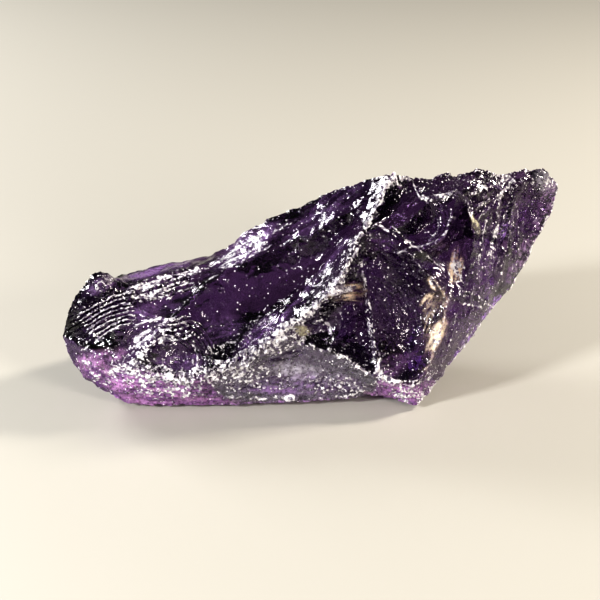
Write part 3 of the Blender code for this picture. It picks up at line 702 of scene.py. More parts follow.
FLAKE_PATCHES = [
    # Painted shade in the hollows, grooves and dark spots, over the cheek and the knob, under everything
    # else; one white patch frosts the flutes.
    FlakePatch((461, 215), (8, 26), 0, 0.85, Tint.PAINTED_SHADE),
    FlakePatch((528, 214), (18, 26), 20, 0.45, Tint.PLUM_SHADE, (6, 3)),
    FlakePatch((492, 245), (45, 14), 100, 0.85, Tint.PAINTED_SHADE, (16, 1.7), 0.08, 0.0),
    FlakePatch((520, 228), (42, 13), 106, 0.75, Tint.PAINTED_SHADE, (16, 1.7), 0.07, 0.0),
    FlakePatch((506, 240), (45, 20), 102, 0.26, flake=(14, 1.4), lift=0.05, gap=0.0),
    FlakePatch((372, 188), (8, 7), -30, 0.80, Tint.PAINTED_SHADE),
    FlakePatch((326, 276), (40, 6), -52, 0.60, Tint.PAINTED_SHADE, (12, 3)),
    FlakePatch((405, 300), (34, 40), 20, 0.45, Tint.PAINTED_SHADE, (6, 4)),
    FlakePatch((356, 322), (12, 26), -8, 0.40, Tint.PAINTED_SHADE, (5, 4)),
    FlakePatch((92, 332), (22, 9), -8, 0.80, Tint.PAINTED_SHADE, (6, 3)),
    FlakePatch((98, 308), (30, 16), -25, 0.60, Tint.PAINTED_SHADE, (10, 2)),
    FlakePatch((99, 291), (20, 4), -22, 0.85, Tint.PAINTED_SHADE, (8, 2)),
    FlakePatch((430, 226), (12, 12), 0, 0.45, Tint.PAINTED_SHADE, (4, 3)),
    FlakePatch((330, 245), (30, 12), -35, 0.40, Tint.PAINTED_SHADE, (9, 3)),
    # The shelf and the lip: white flakes that are partly painted highlight, a painted lavender glow of light
    # through the thin shelf, and painted plum shade beside the oval scoop.
    FlakePatch((147, 294), (17, 7), -17, 1.6, flake=(9, 2.6), lift=0.08, gap=0.0),
    FlakePatch((155, 282), (40, 3), -17, 1.4, flake=(12, 1.6), lift=0.05, gap=0.0),
    FlakePatch((176, 285), (12, 3.5), -17, 1.4, flake=(8, 2), lift=0.05, gap=0.0),
    FlakePatch((195, 270), (16, 3), -17, 1.2, flake=(8, 1.8), lift=0.04, gap=0.0),
    FlakePatch((155, 271), (42, 4), -15, 0.75, Tint.LAVENDER, (14, 2)),
    FlakePatch((380, 243), (16, 9), 0, 0.50, Tint.PLUM_SHADE, (6, 3)),
    # The frosted patch and the brow, whose white flakes are partly painted highlight.
    FlakePatch((222, 263), (14, 7), -30, 1.4, flake=(9, 2.4), lift=0.08, gap=0.0),
    FlakePatch((248, 247), (24, 9), -33, 1.0, flake=(10, 2.4), lift=0.08, gap=0.0),
    FlakePatch((246, 247), (34, 13), -33, 0.35, Tint.LAVENDER, (9, 3)),
    FlakePatch((283, 226), (12, 4), -30, 0.6, flake=(8, 2), lift=0.05),
    # The window's flakes.
    FlakePatch((156, 309), (28, 9), -15, 0.22, Tint.LAVENDER, (10, 3)),
    FlakePatch((139, 342), (20, 6), -42, 1.3, flake=(8, 2), lift=0.07, gap=0.0),
    FlakePatch((168, 340), (13, 4.5), -10, 1.1, flake=(6, 3), lift=0.07, gap=0.0),
    FlakePatch((180, 327), (13, 9), 15, 0.25, flake=(7, 2), lift=0.06),
    # The knob, the toe and the heel at the left: the rose flakes are a painted glow of light let through the
    # thin edge, and the plum streaks are painted shade.
    FlakePatch((101, 285), (16, 9), -30, 0.34, Tint.LAVENDER, (5, 2), 0.04),
    FlakePatch((105, 284), (14, 8), -30, 0.75, flake=(4, 2), lift=0.07, gap=0.1),
    FlakePatch((82, 348), (9, 8), 30, 0.40, flake=(3, 2)),
    FlakePatch((100, 372), (28, 12), 32, 0.60, Tint.ROSE_GLOW, (5, 2), 0.04),
    FlakePatch((96, 372), (26, 9), 35, 0.70, flake=(4, 1.6), lift=0.06, gap=0.1),
    FlakePatch((150, 372), (42, 8), 4, 0.40, flake=(3, 2), lift=0.06),
    FlakePatch((170, 400), (70, 5), 1, 0.80, Tint.ROSE_GLOW, (14, 1.8), 0.04),
    FlakePatch((150, 388), (48, 11), 11, 0.80, Tint.ROSE_GLOW, (12, 2.0), 0.05),
    FlakePatch((160, 386), (50, 12), 12, 0.75, flake=(5, 1.6), lift=0.06, gap=0.1),
    FlakePatch((100, 358), (25, 8), -10, 0.35, Tint.ROSE_GLOW, (6, 3)),
    FlakePatch((150, 386), (50, 12), 11, 0.75, Tint.PLUM_SHADE, (16, 1.5), 0.06, 0.0),
    FlakePatch((100, 380), (30, 10), 38, 0.75, Tint.PLUM_SHADE, (9, 1.5), 0.06, 0.0),
    FlakePatch((170, 401), (68, 4), 1, 0.65, Tint.PLUM_SHADE, (16, 1.2), 0.05, 0.0),
    # Specks beside the crest, the hackles over the scoop, and painted shade over the slope.
    FlakePatch((262, 332), (36, 11), -38, 0.36, Tint.LAVENDER, (8, 2)),
    FlakePatch((222, 330), (24, 13), -15, 0.32, Tint.LAVENDER, (8, 2)),
    FlakePatch((182, 362), (26, 9), 0, 0.42, Tint.LAVENDER, (6, 2.5)),
    FlakePatch((242, 334), (45, 11), -35, 0.34, flake=(3, 2), lift=0.03),
    FlakePatch((288, 266), (30, 18), 83, 0.24, flake=(6, 2), lift=0.015),
    FlakePatch((326, 238), (20, 14), 80, 0.22, flake=(9, 2), lift=0.03),
    FlakePatch((330, 210), (46, 14), -35, 0.45, Tint.PAINTED_SHADE, (14, 2.4), 0.02, 0.1),
    FlakePatch((322, 214), (48, 12), -35, 0.22, Tint.LAVENDER, (14, 1.6), 0.03, 0.0),
    FlakePatch((395, 181), (15, 9), 20, 0.60, flake=(4, 3), lift=0.08),
    # The apron, with dark crack lines painted as shade.
    FlakePatch((297, 371), (26, 9), 8, 0.75, Tint.PALE, (18, 5)),
    FlakePatch((248, 377), (34, 12), -10, 0.62, flake=(3.5, 2.2), lift=0.08),
    FlakePatch((340, 384), (34, 12), 10, 0.52, flake=(3.5, 2.2), lift=0.08),
    FlakePatch((300, 385), (60, 12), 0, 0.40, Tint.LAVENDER, (8, 2.2), 0.05),
    FlakePatch((300, 385), (60, 12), 0, 0.30, flake=(3, 1.8), lift=0.05),
    FlakePatch((290, 347), (22, 5), -15, 0.40, flake=(6, 2), lift=0.06),
    FlakePatch((275, 390), (28, 3.5), 0, 0.60, Tint.LAVENDER, (14, 3)),
    FlakePatch((255, 382), (34, 7), -8, 0.9, Tint.PAINTED_SHADE, (9, 2), 0.08, 0.0),
    FlakePatch((335, 386), (30, 8), 8, 0.8, Tint.PAINTED_SHADE, (9, 2), 0.08, 0.0),
    FlakePatch((285, 356), (24, 4), -12, 1.0, Tint.PAINTED_SHADE, (10, 2), 0.08, 0.0),
    FlakePatch((289, 398), (8, 4), 0, 0.95, flake=(4, 3), lift=0.08),
    # A painted yellowish glint.
    FlakePatch((303, 331), (9, 6), 0, 0.60, Tint.YELLOW_GLINT, (5, 1.8), 0.05, 0.0),
    # The dark hollows' warm glints, painted with white flakes over them and painted shade round one; then the
    # mist over the foot, with a painted pink and rose glow and painted plum shade streaks.
    FlakePatch((348, 293), (17, 8), -14, 1.5, Tint.GOLD, (12, 1.5), 0.08, 0.0),
    FlakePatch((345, 297), (14, 6), -14, 0.9, Tint.PAINTED_SHADE, (12, 1.3), 0.05, 0.0),
    FlakePatch((344, 289), (14, 5), -14, 1.4, flake=(10, 1.5), lift=0.06, gap=0.0),
    FlakePatch((433, 283), (8, 4), 60, 1.4, Tint.GOLD, (8, 1.6), 0.07, 0.0),
    FlakePatch((433, 283), (6, 3), 60, 1.0, flake=(5, 1.4), gap=0.0),
    FlakePatch((427, 302), (11, 5), -50, 0.9, Tint.GOLD, (9, 1.6), 0.06, 0.0),
    FlakePatch((432, 318), (24, 9), -70, 0.26, Tint.GOLD, (12, 1.8), 0.03, 0.0),
    FlakePatch((437, 335), (19, 7), -62, 1.2, Tint.GOLD, (10, 1.8), 0.06, 0.15),
    FlakePatch((438, 338), (14, 4), -62, 0.6, flake=(7, 1.5), gap=0.0),
    FlakePatch((456, 264), (19, 6.5), 98, 1.5, Tint.GOLD, (14, 1.7), 0.08, 0.05),
    FlakePatch((455, 261), (15, 4), 100, 0.7, flake=(12, 1.6), lift=0.05, gap=0.0),
    FlakePatch((459, 270), (11, 5), 70, 1.2, flake=(7, 1.6), lift=0.05, gap=0.0),
    FlakePatch((475, 224), (11, 3.5), 65, 1.2, Tint.YELLOW_GLINT, (6, 2), 0.05, 0.1),
    FlakePatch((395, 365), (24, 10), -25, 0.34, Tint.PINK_GLOW, (10, 3)),
    FlakePatch((402, 392), (28, 9), 14, 0.75, Tint.ROSE_GLOW, (12, 1.8), 0.05),
    FlakePatch((408, 394), (26, 9), 14, 0.80, flake=(8, 1.6), lift=0.06, gap=0.1),
    FlakePatch((402, 394), (28, 9), 16, 0.75, Tint.PLUM_SHADE, (14, 1.4), 0.06, 0.0),
    FlakePatch((430, 375), (14, 6), -25, 0.45, flake=(3, 2)),
    # The heel and the saw-toothed top.
    FlakePatch((475, 335), (32, 12), -55, 0.40, flake=(5, 1.5), lift=0.04, gap=0.0),
    FlakePatch((490, 275), (16, 30), 15, 0.20, Tint.LAVENDER, (2.5, 2), 0.04),
    FlakePatch((500, 182), (50, 9), 0, 0.20, flake=(3, 2), lift=0.06),
    FlakePatch((508, 180), (9, 5), 10, 0.60, flake=(4, 2), lift=0.06),
    FlakePatch((545, 182), (13, 11), 40, 0.45, Tint.PALE, (3, 2), 0.06),
    FlakePatch((550, 184), (9, 10), 20, 0.50, flake=(3, 2), lift=0.06),
]

# The centre of a face's ripples is written as its corners are: seen for the front, a point for the back.
FRONT_BREAKS = {
    # The toe's and the foot band's pink haze is a painted glow of light let through the thin edge, over real
    # haze.
    "toe": Break(
        (60, 330, -6.0), ring_length=0.55, rays=0.05, grain=0.05, chips=0.05, frost_and_glints=0.10, haze=0.30,
        tint=Tint.PINK_GLOW,
    ),
    "apron": Break(
        (420, 300, -6.0), rings=0.015, ring_length=1.2, rays=0.05, grain=0.05, chips=0.07, frost_and_glints=0.07,
        haze=0.25, tint=Tint.PALE,
    ),
    "foot_band": Break(
        (300, 300, -6.0), rays=0.08, grain=0.05, chips=0.05, frost_and_glints=0.15, haze=0.35, tint=Tint.PINK_GLOW,
    ),
    "nook": Break((318, 322, -7.0), rings=0.03, ring_length=0.7, grain=0.03, chips=0.05, frost_and_glints=0.20),
    # The two dark hollows' dark haze is painted shade.
    "dark_hollow": Break(
        (352, 250, -6.0), rings=0.04, ring_length=0.9, rays=0.05, grain=0.045, chips=0.06, frost_and_glints=0.13,
        haze=0.2, tint=Tint.PAINTED_SHADE, dust=1.0,
    ),
    "deep_hollow": Break(
        (352, 330, -6.5), rings=0.035, ring_length=0.6, rays=0.05, grain=0.045, chips=0.06, frost_and_glints=0.07,
        haze=0.25, tint=Tint.PAINTED_SHADE, dust=1.0,
    ),
    "upper_scoop": Break((380, 175, -1.0), rings=0.015, ring_length=1.1, grain=0.008, dust=0.4),
    "oval_scoop": Break((418, 222, -3.0), rings=0.05, ring_length=0.65),
    "saw_slope": Break((440, 140, 2.0), rays=0.06, grain=0.04, chips=0.07, frost_and_glints=0.16),
    # The black pit's dark haze is painted shade.
    "black_pit": Break((460, 180, 0.0), rays=0.05, grain=0.02, haze=0.30, tint=Tint.PAINTED_SHADE),
    "gold_ledge": Break(
        (455, 240, -1.0), rings=0.03, rays=0.06, grain=0.03, chips=0.03, frost_and_glints=0.10, dust=1.0,
    ),
    "flute_a": Break((480, 150, 1.0), rays=0.12, grain=0.04, chips=0.05, frost_and_glints=0.20, dust=0.9),
    "flute_b": Break((492, 140, 2.0), rays=0.13, grain=0.03, chips=0.04, frost_and_glints=0.14, dust=0.9),
    "flute_c": Break((506, 140, 3.0), rays=0.12, grain=0.03, chips=0.04, frost_and_glints=0.10, dust=0.8),
    "cap": Break((530, 140, 6.0), rays=0.06, grain=0.04, chips=0.07, frost_and_glints=0.16),
    "cheek": Break(
        (500, 160, 4.0), rings=0.045, ring_length=0.45, rays=0.04, grain=0.02, chips=0.02, frost_and_glints=0.07,
    ),
    # The heel face's plum haze is painted shade.
    "heel_face": Break(
        (440, 250, -3.0), rings=0.015, rays=0.06, grain=0.05, chips=0.06, frost_and_glints=0.10, haze=0.30,
        tint=Tint.PLUM_SHADE, dust=0.8,
    ),
    "striped_face": Break(
        (190, 478, -9.0), rings=0.075, ring_length=0.42, rays=0.01, grain=0.008, frost_and_glints=0.05,
    ),
    "knob": Break((100, 240, -3.0), grain=0.04, chips=0.08, frost_and_glints=0.14),
    "shelf": Break((170, 800, 2.0), ring_length=0.5, rays=0.0, grain=0.006, frost_and_glints=0.02, dust=0.2),
    "lip": Break((230, 520, -4.0), rings=0.07, ring_length=0.36, frost_and_glints=0.10),
    "window": Break((215, 262, -1.0), rings=0.010, ring_length=1.2, rays=0.015, grain=0.006, dust=0.3),
    "cheek_left": Break(
        (175, 400, -8.5), rings=0.05, ring_length=0.45, grain=0.015, haze=0.16, tint=Tint.LAVENDER,
    ),
    "heel_left": Break((125, 350, -8.0), rays=0.03, grain=0.03, frost_and_glints=0.05, haze=0.18, tint=Tint.LAVENDER),
    "band": Break((150, 400, -8.8), rings=0.05, ring_length=0.4, frost_and_glints=0.20),
    "bowl": Break(
        (173, 358, -8.2), rings=0.055, ring_length=0.42, rays=0.01, grain=0.010, frost_and_glints=0.10, dust=0.5,
    ),
    "big_scoop": Break(
        (205, 262, -2.0), rings=0.012, ring_length=1.8, rays=0.012, grain=0.006, frost_and_glints=0.03, dust=0.45,
    ),
    "patch": Break(
        (270, 400, 0.0), rings=0.05, ring_length=0.5, grain=0.03, chips=0.05, haze=0.10,
        tint=Tint.LAVENDER,
    ),
    "slope": Break((240, 250, 0.0), rings=0.0, rays=0.03, grain=0.02, chips=0.02, frost_and_glints=0.05),
}
BACK_BREAKS = {
    "sole": Break((-4.0, 0.0, 0.0), rings=0.0, rays=0.0, grain=0.0, dust=HIDDEN_DUST_AND_GLINTS),
    # The sole rim's pink haze is a painted glow of light let through the thin edge.
    "sole_rim": Break((-4.0, 4.0, 0.0), rays=0.03, grain=0.02, haze=0.25, tint=Tint.PINK_GLOW, dust=HIDDEN_DUST_AND_GLINTS),
    # The hidden faces' dark haze is painted shade, which darkens what is seen through the front.
    "left_under": Break.hidden((-22.0, -6.0, 9.0), 0.05, 0.8, 0.02, haze=0.34),
    "knob_back": Break.hidden((-18.0, -6.0, 14.0), 0.03, 0.7, 0.05, haze=0.42, chips=0.05),
    "left_back": Break.hidden((-24.0, 4.0, 8.0), 0.05, 0.9, 0.03, haze=0.32),
    "shelf_back": Break.hidden((-14.0, 2.0, 14.0), 0.06, 0.9, 0.04, haze=0.30),
    "brow_back": Break.hidden((8.0, 4.0, 18.0), 0.07, 1.1, 0.04, haze=0.20),
    "crest_back": Break.hidden((7.0, 0.0, 20.0), 0.08, 1.2, 0.05, haze=0.26),
    "saw_back": Break.hidden((12.0, 4.0, 20.0), 0.04, 0.6, 0.06, haze=0.42, chips=0.05),
    "cap_back": Break.hidden((22.0, 6.0, 18.0), 0.04, 0.6, 0.05, haze=0.70, chips=0.05),
    "tip_under": Break.hidden((22.0, 8.0, 16.0), 0.05, 0.7, 0.04, haze=0.72),
    "heel_under": Break.hidden((16.0, -4.0, 12.0), 0.06, 0.9, 0.05, haze=0.50),
    "flank_right": Break.hidden((12.0, 12.0, 14.0), 0.07, 1.0, 0.04, haze=0.45),
    "flank_middle": Break.hidden((-2.0, 12.0, 10.0), 0.06, 1.1, 0.05, haze=0.30),
    "flank_left": Break.hidden((-16.0, 10.0, 8.0), 0.06, 0.8, 0.04, haze=0.28),
}

# The ridges that are crushed or frosted, by the corners that they run through.
FROST_LINES = [
    FrostLine("crest_top crest_1 crest_2 crest_3 crest_4 crest_5 crest_6", 0.58, 0.92, 0.19),
    FrostLine("crest_6 crest_7 crest_8 crest_9 crest_10 crest_11", 0.95, 0.92, 0.24),
    FrostLine("crest_11 crest_12 crest_13 crest_14", 0.80, 0.85, 0.19),
    FrostLine("crest_14 crest_15 crest_16 crest_17 crest_18", 0.60, 0.55, 0.12),
    FrostLine("crest_9 apron_1 apron_2 apron_3 apron_4 apron_5", 0.35, 0.55, 0.06),
    FrostLine("apron_5 apron_6 apron_7 apron_8", 0.25, 0.70, 0.05),
    FrostLine("apron_end apron_5", 0.12, 0.35),
    FrostLine("seam_1 seam_2 seam_3 seam_4 apron_5", 0.22, 0.50, 0.05),
    FrostLine("crest_17 band_1 band_2 band_3", 0.45, 0.60, 0.06),
    FrostLine("band_3 band_4 band_5", 0.06, 0.15, 0.0),
    FrostLine("stripe_5 notch_1 band_3", 0.10, 0.15),
    FrostLine("lip_1 lip_2 lip_3", 0.25, 0.35, 0.05),
    FrostLine("lip_3 lip_4 lip_5 shelf_4", 0.12, 0.25),
    FrostLine("scoop_1 scoop_2 oval_1 oval_2", 0.14, 0.65),
    FrostLine("oval_2 oval_3 oval_4 oval_5 oval_6", 0.16, 0.35),
    FrostLine("oval_7 crack_1 crack_2", 0.09, 0.60, 0.0),
    # The golden ridge's warm frost is a painted glint.
    FrostLine("crack_2 gold_1 gold_2 gold_3 gold_4", 0.20, 0.30, 0.05, Tint.GOLD),
    FrostLine("crack_2 gold_1 gold_2 gold_3 gold_4", 0.10, 0.45, 0.02),
    FrostLine("flute_b2 flute_b3", 0.22, 0.65, 0.03),
    FrostLine("flute_c1 flute_c2 flute_c3", 0.10, 0.40, 0.02),
    FrostLine("flute_d1 flute_d2 flute_d3 flute_d4 flute_c4", 0.12, 0.45, 0.02),
    FrostLine("flute_b1 flute_a1 flute_a2", 0.20, 0.45, 0.04),
    FrostLine("knot flute_b4 flute_c4 heel_6", 0.12, 0.45, 0.02),
    FrostLine("crest_top saw_1 saw_2 saw_3 saw_4 saw_5 saw_6 saw_7 cap_1", 0.40, 0.35, 0.08),
    FrostLine("cap_1 cap_2 cap_3 right_end", 0.30, 0.35, 0.06),
    FrostLine("cap_low_1 cap_low_2 right_end", 0.12, 0.35),
    FrostLine("right_end heel_1 heel_2 heel_3 heel_4 heel_5 heel_6", 0.20, 0.90, 0.04),
    FrostLine("heel_6 heel_7 heel_8 heel_9 heel_10 foot", 0.28, 0.80, 0.05),
    # The base's pink frost is a painted glow of light let through the thin edge.
    FrostLine("foot rim_1 rim_2 rim_3 rim_4 rim_5 rim_6", 0.20, 0.45, 0.04, Tint.PINK_GLOW),
    FrostLine("rim_6 rim_7 rim_8 rim_9 toe_1", 0.25, 0.45, 0.03, Tint.PINK_GLOW),
    FrostLine("toe_1 toe_2 toe_3 left_end knob_1 knob_2 knob_3 knob_top knob_notch", 0.16, 0.30, 0.04),
    FrostLine("brow_1 brow_2 brow_3 brow_4 brow_5 brow_6 brow_7 crest_top", 0.30, 0.35, 0.05),
    FrostLine("patch_1 patch_2 patch_3 patch_4", 0.20, 0.45, 0.03),
    FrostLine("back_1 back_2 back_3 back_4 back_5 back_6 back_7 back_8", 0.35, 0.85, 0.08),
    FrostLine("haunch back_7", 0.25, 0.8, 0.05),
    FrostLine("haunch sole_7", 0.25, 0.7, 0.05),
    FrostLine("back_4 sole_9", 0.20, 0.7, 0.04),
    FrostLine("back_2 sole_10", 0.20, 0.7, 0.04),
]


class Pattern(IntEnum):
    """Which noise pattern a mark uses. Its further layers take the numbers that follow."""

    RING_BEND = 10
    RING_PATCH = 14
    HACKLE = 20
    FINE_HACKLE = 21
    HACKLE_PATCH = 24
    GRAIN = 30
    FINE_GRAIN = 33
    ROLL = 36
    WANDER = 40
    FINE_WANDER = 50
    RAGGED = 60
    FINE_RAGGED = 64
    CHIPS = 70
    EDGE_CHIPS = 80
    LUMPS = 90
    CRUMBS = 95
    WAVER = 100
    WORN = 104
    FLAKES = 110


class Noise:
    """Noise over points in millimetres, worked out as whole arrays."""

    PRIMES = (73856093, 19349663, 83492791)
    MIXES = ((16, 0x7FEB352D), (15, 0x846CA68B), (16, 0x9E3779B1))
    SALT_STEP = 40503
    FIRST_SALT = 977
    KEPT_BITS = 24
    FACET_LIFT = 0.8

    @classmethod
    def hashed(cls, cells: Array, salt: int) -> Array:
        """A fixed random number from 0 to 1 for each whole-numbered cell.

        The three whole numbers are each multiplied by a prime and mixed bit by bit, and the low bits kept.

        Args:
            cells: whole numbers, three to a row.
            salt: which of the endless patterns to use.
        Returns:
            One number for each row.
        """
        low_bits = np.uint64(0xFFFFFFFF)
        terms = cells.astype(np.int64).astype(np.uint64) * np.array(cls.PRIMES, np.uint64)
        mixed = np.bitwise_xor.reduce(terms, axis=-1) ^ np.uint64(salt * cls.SALT_STEP + cls.FIRST_SALT)
        mixed = mixed & low_bits
        for shift, factor in cls.MIXES:
            mixed = ((mixed ^ (mixed >> np.uint64(shift))) * np.uint64(factor)) & low_bits
        return (mixed >> np.uint64(32 - cls.KEPT_BITS)) / float(1 << cls.KEPT_BITS)

    @classmethod
    def smooth(cls, points: Array, size: float, salt: int) -> Array:
        """Rolling noise from -1 to 1: random numbers on a grid, blended by 3t^2 - 2t^3 along each axis.

        Args:
            points: places in millimetres.
            size: the grid's spacing.
            salt: which pattern.
        Returns:
            One number for each point.
        """
        place = points / size
        cell = np.floor(place)
        share = place - cell
        share = share * share * (3 - 2 * share)
        total = np.zeros(len(points))
        for corner in itertools.product((0, 1), repeat=3):
            weight = np.prod(np.where(np.array(corner) == 1, share, 1 - share), axis=1)
            total += weight * cls.hashed(cell + corner, salt)
        return total * 2 - 1

    @classmethod
    def fractal(cls, points: Array, size: float, salt: int, octaves: int = 3) -> Array:
        """Rolling noise plus itself at half the size and half the height, again and again."""
        layers = [cls.smooth(points, size / 2**i, salt + i) / 2**i for i in range(octaves)]
        return np.sum(layers, axis=0) / (2 - 2.0 ** (1 - octaves))

    @classmethod
    def chips(cls, points: Array, size: float, salt: int) -> Array:
        """Crushed facets: each point belongs to the nearest of many scattered seeds, and each seed tilts its
        own flat facet at random and lifts or sinks it a little.

        Args:
            points: places in millimetres.
            size: distance between seeds.
            salt: which pattern.
        Returns:
            Heights from about -1 to 1.
        """
        place = points / size
        base = np.floor(place)
        nearest = np.full(len(points), np.inf)
        height = np.zeros(len(points))
        for offset in itertools.product((-1, 0, 1), repeat=3):
            cell = base + offset
            seed = cell + np.column_stack([cls.hashed(cell, salt + i) for i in range(3)])
            tilt = np.column_stack([cls.hashed(cell, salt + 3 + i) for i in range(3)]) * 2 - 1
            away = place - seed
            distance = (away**2).sum(axis=1)
            facet = (away * tilt).sum(axis=1) + cls.FACET_LIFT * cls.hashed(cell, salt + 6)
            height = np.where(distance < nearest, facet - cls.FACET_LIFT / 2, height)
            nearest = np.minimum(distance, nearest)
        return height


def ease(value: Array, low: float, high: float) -> Array:
    """Runs from 0 at low to 1 at high, level at both ends: 3t^2 - 2t^3."""
    share = np.clip((value - low) / (high - low), 0, 1)
    return share * share * (3 - 2 * share)


def nearest_distance(points: Array, targets: Array, block: int = 4000) -> Array:
    """Distance from each point to the nearest target, a block of points at a time.

    Args:
        points: places, one to a row.
        targets: places to measure to.
        block: how many points at a time, to spare memory.
    Returns:
        One distance for each point.
    """
    size = (targets**2).sum(axis=1)
    parts = []
    for start in range(0, len(points), block):
        part = points[start : start + block]
        squared = (part**2).sum(axis=1)[:, None] + size - 2 * part @ targets.T
        parts.append(np.sqrt(np.maximum(squared.min(axis=1), 0)))
    return np.concatenate(parts)


def path_distance(places: Array, corners: Array) -> Array:
    """Distance from each place to a line through some corners: the least over its straight pieces.

    Args:
        places: pixels across and down, one place to a row.
        corners: the line's corners.
    Returns:
        One distance for each place.
    """
    start, step = corners[:-1], np.diff(corners, axis=0)
    offset = places[:, None, :] - start[None, :, :]
    share = np.clip((offset * step).sum(axis=2) / (step**2).sum(axis=1), 0, 1)
    return np.linalg.norm(offset - share[:, :, None] * step, axis=2).min(axis=1)


def ripple(phase: Array) -> Array:
    """A wave with sharp peaks and valleys, from -1 to 1: how far the phase is from its nearest half."""
    return 1 - 4 * np.abs(phase - np.floor(phase) - 0.5)


@dataclass
class Coat:
    """What covers the skin, point by point.

    White frost and tinted haze each run from 0 to 1, the haze has a colour, and the lift is in millimetres.
    The frost also holds painted glints, and the haze's colours also paint shade, glow and warm glints.
    """

    frost_and_glints: Array
    haze: Array
    tint: Array
    lift: Array

    @classmethod
    def of_faces(cls, skin: "Skin") -> "Coat":
        """The coat that the faces have before anything is laid on them."""
        tint = np.array([piece.tint.value for piece in skin.breaks])[skin.owner]
        return cls(skin.of_face("frost_and_glints"), skin.of_face("haze"), tint, np.zeros(len(tint)))

    def lay(self, rows: Array, cover: Array, tint: Tint, lift: Array) -> None:
        """Lays more frost or haze over some points, as paint over paint, and adds to their height.

        Args:
            rows: which points.
            cover: how much of each point it covers.
            tint: its colour; white is frost, and any other is haze, which with the shade, glow and glint
                tints is painted light and shade.
            lift: the height that it adds.
        """
        cover = np.clip(cover, 0, 1)
        self.lift[rows] += lift
        if tint is Tint.WHITE:
            self.frost_and_glints[rows] += cover * (1 - self.frost_and_glints[rows])
            return
        under = self.haze[rows] * (1 - cover)
        total = np.maximum(under + cover, LEAST_DIVISOR)
        mixed = self.tint[rows] * under[:, None] + np.array(tint.value) * cover[:, None]
        self.tint[rows] = np.where(cover[:, None] > 0, mixed / total[:, None], self.tint[rows])
        self.haze[rows] = under + cover


@dataclass
class Outlines:
    """The corners and the ridges between them, as places in the front view."""

    step_px: float = 9.0
    wander_px: float = 0.9
    wander_closeness: float = 0.0009
    wander_seed: int = 7
    path_step: float = 0.12
    places: dict[str, Array] = field(init=False)

    def __post_init__(self) -> None:
        """Works out every corner's place."""
        seen = {**TOP_OUTLINE, **LOW_OUTLINE, **FRONT_CORNERS}
        points = {name: VIEW.seen(*where) for name, where in seen.items()}
        points.update({name: np.array(where) for name, where in BACK_CORNERS.items()})
        self.places = {name: VIEW.to_picture(point)[0] for name, point in points.items()}

    def ridge(self, first: str, second: str) -> Array:
        """Places along the ridge between two corners, without its last one.

        The line is straight, plus a wander that is the same whichever face asks for it.

        Args:
            first: the corner it starts from.
            second: the corner it leads to.
        Returns:
            Pixels across and down and closeness, one place to a row.
        """
        names = sorted((first, second))
        start, end = (self.places[name] for name in names)
        count = max(1, round(float(np.hypot(*(end - start)[:2])) / self.step_px))
        share = np.arange(count + 1) / count
        line = start + (end - start) * share[:, None]
        if not all(name.startswith("sole") for name in names):
            salt = sum(ord(letter) * (i + 1) for i, letter in enumerate("".join(names)))
            wander = np.random.default_rng(self.wander_seed + salt).uniform(-1, 1, (count + 1, 3))
            wander[[0, -1]] = 0
            line = line + wander * (self.wander_px, self.wander_px, self.wander_closeness)
        return line[:-1] if first == names[0] else line[::-1][:-1]

    def rim(self, loop: str) -> Array:
        """The closed rim of a face: the ridges between its corners, end to end."""
        names = loop.split()
        return np.vstack([self.ridge(a, b) for a, b in zip(names, names[1:] + names[:1])])

    def path(self, names: str) -> Array:
        """Points along the ridges through some corners, a step apart.

        Args:
            names: the corners' names, with spaces between them.
        Returns:
            Points in millimetres, one to a row.
        """
        corners = names.split()
        ridges = [self.ridge(a, b) for a, b in zip(corners, corners[1:])]
        points = VIEW.from_picture(np.vstack([*ridges, self.places[corners[-1]]]))
        run = np.concatenate([[0], np.cumsum(np.linalg.norm(np.diff(points, axis=0), axis=1))])
        stops = np.arange(0, run[-1], self.path_step)
        return np.column_stack([np.interp(stops, run, points[:, axis]) for axis in range(3)])


def squared_distances(places: Array, sites: Array) -> Array:
    """Squared distance from each place to each site, over the picture."""
    return ((places[:, None, :2] - sites[None, :, :2]) ** 2).sum(axis=2)


def thin_plate(sites: Array) -> Plate:
    """A surface that bends like a thin plate through the sites: a plane plus r squared log r from each site.

    Args:
        sites: pixels across and down and closeness, one site to a row.
    Returns:
        A function that gives closeness at any places.
    """
    middle = sites[:, :2].mean(axis=0)

    def bend(squared: Array) -> Array:
        """How a site bends the plate: half the squared distance times its own logarithm."""
        return 0.5 * squared * np.log(squared + LEAST_SQUARE)

    def plane(places: Array) -> Array:
        """The three terms of a plane at each place: one, and the place in millimetres from the middle."""
        return np.column_stack([np.ones(len(places)), (places[:, :2] - middle) / VIEW.px_per_mm])

    flat = plane(sites)
    system = np.block([[bend(squared_distances(sites, sites)), flat], [flat.T, np.zeros((3, 3))]])
    weights = np.linalg.solve(system, np.concatenate([sites[:, 2], np.zeros(3)]))
    return lambda places: bend(squared_distances(places, sites)) @ weights[:-3] + plane(places) @ weights[-3:]


def inside(places: Array, rim: Array) -> Array:
    """Which places lie inside a closed rim, by counting the rim's crossings to one side of each.

    Args:
        places: pixels across and down, one place to a row.
        rim: the rim's corners in order.
    Returns:
        One truth for each place.
    """
    x, y = places[:, :1], places[:, 1:2]
    x0, y0 = rim[:, 0], rim[:, 1]
    x1, y1 = np.roll(x0, -1), np.roll(y0, -1)
    rise = np.where(np.abs(y1 - y0) < NEARLY_ZERO, NEARLY_ZERO, y1 - y0)
    crossed = ((y0 > y) != (y1 > y)) & (x < (x1 - x0) * (y - y0) / rise + x0)
    return crossed.sum(axis=1) % 2 == 1


